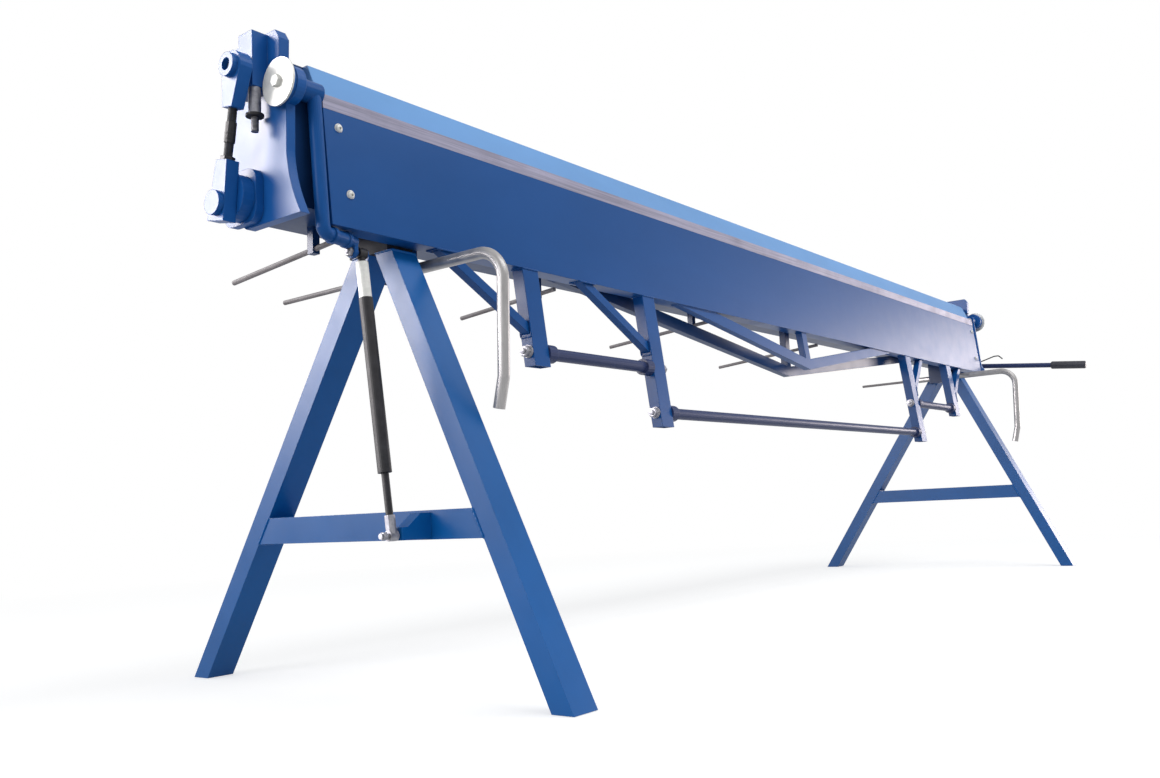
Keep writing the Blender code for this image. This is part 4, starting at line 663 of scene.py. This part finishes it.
for side_name, side in SIDES:
    x = side * HANDLE_X
    z = BEAM_BOTTOM - HANDLE_BELOW_BEAM
    forward = HANDLE_FORWARD[side]
    corners = [
        (x, HANDLE_START_Y, z), (x, -forward, z),
        (x, HANDLE_KINK_BACK - forward, HANDLE_KINK_Z), (x, HANDLE_TIP_BACK - forward, HANDLE_TIP_Z)]
    path = bent_path(corners, HANDLE_BENDS)
    down = (path[-1] - path[-2]).normalized()
    outside = [path[0] + Vector((0, 0.0006, 0)), *path]
    outside_radii = [0.0102] + [HANDLE_RADIUS] * len(path)
    # The bore is drawn as loops that turn back inside the tube
    bore = [path[-1] + down * 0.0004, path[-1] - down * 0.0008, path[-1] - down * HANDLE_BORE_DEPTH]
    bore_radii = [0.0106, 0.0092, HANDLE_BORE_RADIUS]
    tube = Shape()
    tube.tube(outside + bore, outside_radii + bore_radii, HANDLE_SIDES, turning=len(outside))
    handle = tube.piece(side_name + "_bent_handle", "tube_chrome", side_name + "_handle")
    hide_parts(side_name + "_handle")

    tail = Shape()
    length = TAIL_REACH[side] - TAIL_OVERLAP
    tail.turned((x, TAIL_START_Y, z), (0, 1, 0), [
        (0, TAIL_RADIUS, 0), (length, TAIL_RADIUS, 0), (length + 0.001, TAIL_RADIUS - 0.0008, 0)], sides=20)
    tail.piece(side_name + "_handle_tail", "rod_steel", side_name + "_handle")


# Threads, ridges and lock nuts of the links, the stops' threads and the strut's nut

def thread(shape, start, direction, length, radius, pitch=0.0022, depth=0.0009, sides=20):
    """A bar with a screw thread, drawn with six loops to a turn."""
    aim, first, second = axes_of(direction)
    steps = int(length / pitch * 6)
    loops = []
    for i in range(steps + 1):
        along = length * i / steps
        loop = []
        for k in range(sides):
            turn = 2 * math.pi * k / sides
            phase = (along / pitch - k / sides) % 1
            ridge = 1 - abs(2 * phase - 1)
            side = first * math.cos(turn) + second * math.sin(turn)
            loop.append(Vector(start) + aim * along + side * (radius - depth + depth * ridge))
        loops.append(loop)
    shape.loops(loops)


for side_name, side in SIDES:
    rods = Shape()
    upper_pin = LINK_TOP + Vector((side * LINK_X, 0, 0))
    for distance, length in (UPPER_THREAD, LOWER_THREAD):
        thread(rods, upper_pin + LINK_DOWN * distance, LINK_DOWN, length, LINK_THREAD_RADIUS)
    rods.turned(upper_pin + LINK_DOWN * LOCK_NUT_AT, LINK_DOWN, LOCK_NUT, sides=36)
    rods.piece(side_name + "_link_threads", "black_steel", side_name + "_link", THREAD_SMOOTH)

    ridges = Shape()
    for distance in SLEEVE_RIDGES:
        ridges.turned(upper_pin + LINK_DOWN * (distance - RIDGE_HALF), LINK_DOWN, SLEEVE_RIDGE)
    ridges.piece(side_name + "_sleeve_ridges", "black_steel", side_name + "_sleeve", THREAD_SMOOTH)

    stops = Shape()
    x = side * STOP_X
    stops.turned((x, STOP_Y, STOP_RING_Z), (0, 0, -1), STOP_RING, sides=32)
    thread(stops, (x, STOP_Y, STOP_THREAD_Z), (0, 0, -1), STOP_THREAD_LENGTH, STOP_THREAD_RADIUS)
    stops.piece(side_name + "_stop_threads", "black_steel", "clamp", THREAD_SMOOTH)

strut_nut = Shape()
hex_nut(strut_nut, STRUT_NUT_AT, (-1, 0, 0), across=0.0155, height=0.0075, stud=0.0048, proud=0.003)
strut_nut.piece("strut_top_nut", "zinc_steel", "leaf")


# Floor, lights, world and camera

def make_floor():
    """A matt floor that takes the shadows near the machine and turns to plain white further out."""
    mesh = bpy.data.meshes.new("floor")
    corners = ((-1, -1), (1, -1), (1, 1), (-1, 1))
    verts = [(x * FLOOR_REACH, y * FLOOR_REACH, FLOOR_BELOW) for x, y in corners]
    mesh.from_pydata(verts, [], [(0, 1, 2, 3)])
    floor = bpy.data.objects.new("floor", mesh)
    bpy.context.scene.collection.objects.link(floor)
    material, n = new_material("studio_floor")
    seen = n.seen()
    away = n.add("ShaderNodeVectorMath", {0: n.object_place()}, operation="LENGTH").outputs["Value"]
    far = n.math("MULTIPLY", seen, n.range(away, *FLOOR_FADE))
    matt = n.add("ShaderNodeBsdfDiffuse", {"Color": (FLOOR_TONE, FLOOR_TONE, FLOOR_TONE, 1)})
    glow = n.add("ShaderNodeEmission", {"Color": WHITE, "Strength": n.math("MULTIPLY", seen, FLOOR_GLOW)})
    both = n.add("ShaderNodeAddShader", {0: matt.outputs[0], 1: glow.outputs[0]})
    white = n.add("ShaderNodeEmission", {"Color": WHITE, "Strength": 1.0})
    floor_mix = n.add("ShaderNodeMixShader", {0: far, 1: both.outputs[0], 2: white.outputs[0]})
    n.add("ShaderNodeOutputMaterial", {"Surface": floor_mix.outputs[0]})
    mesh.materials.append(material)


def make_world():
    """An even light from all sides, which shows as plain white."""
    world = bpy.data.worlds.new("studio")
    world.use_nodes = True
    n = Nodes(world.node_tree)
    light = n.add("ShaderNodeBackground", {"Color": WORLD_COLOUR, "Strength": WORLD_LIGHT})
    white = n.add("ShaderNodeBackground", {"Color": WHITE, "Strength": 1.0})
    both = n.add("ShaderNodeMixShader", {0: n.seen(), 1: light.outputs[0], 2: white.outputs[0]})
    n.add("ShaderNodeOutputWorld", {"Surface": both.outputs[0]})
    bpy.context.scene.world = world


def lamp(name, place, aim, size, watts, colour=(1, 1, 1), matt=True):
    """A softbox that no camera sees. Without matt it is seen only as a reflection."""
    data = bpy.data.lights.new(name, "AREA")
    data.shape = "RECTANGLE"
    data.size, data.size_y = size
    data.energy = watts
    data.color = colour
    light = bpy.data.objects.new(name, data)
    light.location = place
    light.rotation_mode = "QUATERNION"
    light.rotation_quaternion = (Vector(aim) - Vector(place)).to_track_quat("-Z", "Y")
    light.visible_camera = False
    light.visible_diffuse = matt
    bpy.context.scene.collection.objects.link(light)


def make_camera():
    """The camera of the photograph."""
    level_reach = math.cos(CAMERA_PITCH)
    forward = Vector((
        math.sin(CAMERA_YAW) * level_reach, math.cos(CAMERA_YAW) * level_reach, math.sin(CAMERA_PITCH)))
    level = Vector((math.cos(CAMERA_YAW), -math.sin(CAMERA_YAW), 0))
    upright = level.cross(forward)
    right = level * math.cos(CAMERA_ROLL) + upright * math.sin(CAMERA_ROLL)
    up = -level * math.sin(CAMERA_ROLL) + upright * math.cos(CAMERA_ROLL)
    place = Vector(CAMERA_PLACE) + CENTRE
    data = bpy.data.cameras.new("camera")
    data.sensor_fit = "HORIZONTAL"
    data.sensor_width = SENSOR_WIDTH
    data.lens = SENSOR_WIDTH * CAMERA_FOCAL / PHOTO_WIDTH
    data.clip_start, data.clip_end = 0.05, 200
    camera = bpy.data.objects.new("camera", data)
    camera.matrix_world = Matrix((
        (right.x, up.x, -forward.x, place.x),
        (right.y, up.y, -forward.y, place.y),
        (right.z, up.z, -forward.z, place.z),
        (0, 0, 0, 1)))
    bpy.context.scene.collection.objects.link(camera)
    bpy.context.scene.camera = camera


make_floor()
make_world()
make_camera()
# Two softboxes light the machine, and two large ones only give its faces their sheen
lamp("left_softbox", place=(-6.2, 0.6, 2.2), aim=(-1.0, 0.0, 0.7), size=(2.6, 2.2), watts=80)
lamp("top_softbox", place=(0.0, -2.6, 4.2), aim=(0.0, 0.0, 0.8), size=(5.0, 1.6), watts=110)
lamp("left_glare", place=(-5.8, 4.8, 3.1), aim=(-1.7, 0.0, 1.0), size=(4.2, 3.4), watts=1600,
     colour=(1.0, 0.95, 0.96), matt=False)
lamp("far_glare", place=(8.4, -3.1, 1.5), aim=(1.4, -0.2, 0.9), size=(2.6, 1.8), watts=235,
     colour=(1.0, 0.90, 0.88), matt=False)
bpy.context.scene.view_settings.view_transform = "Standard"
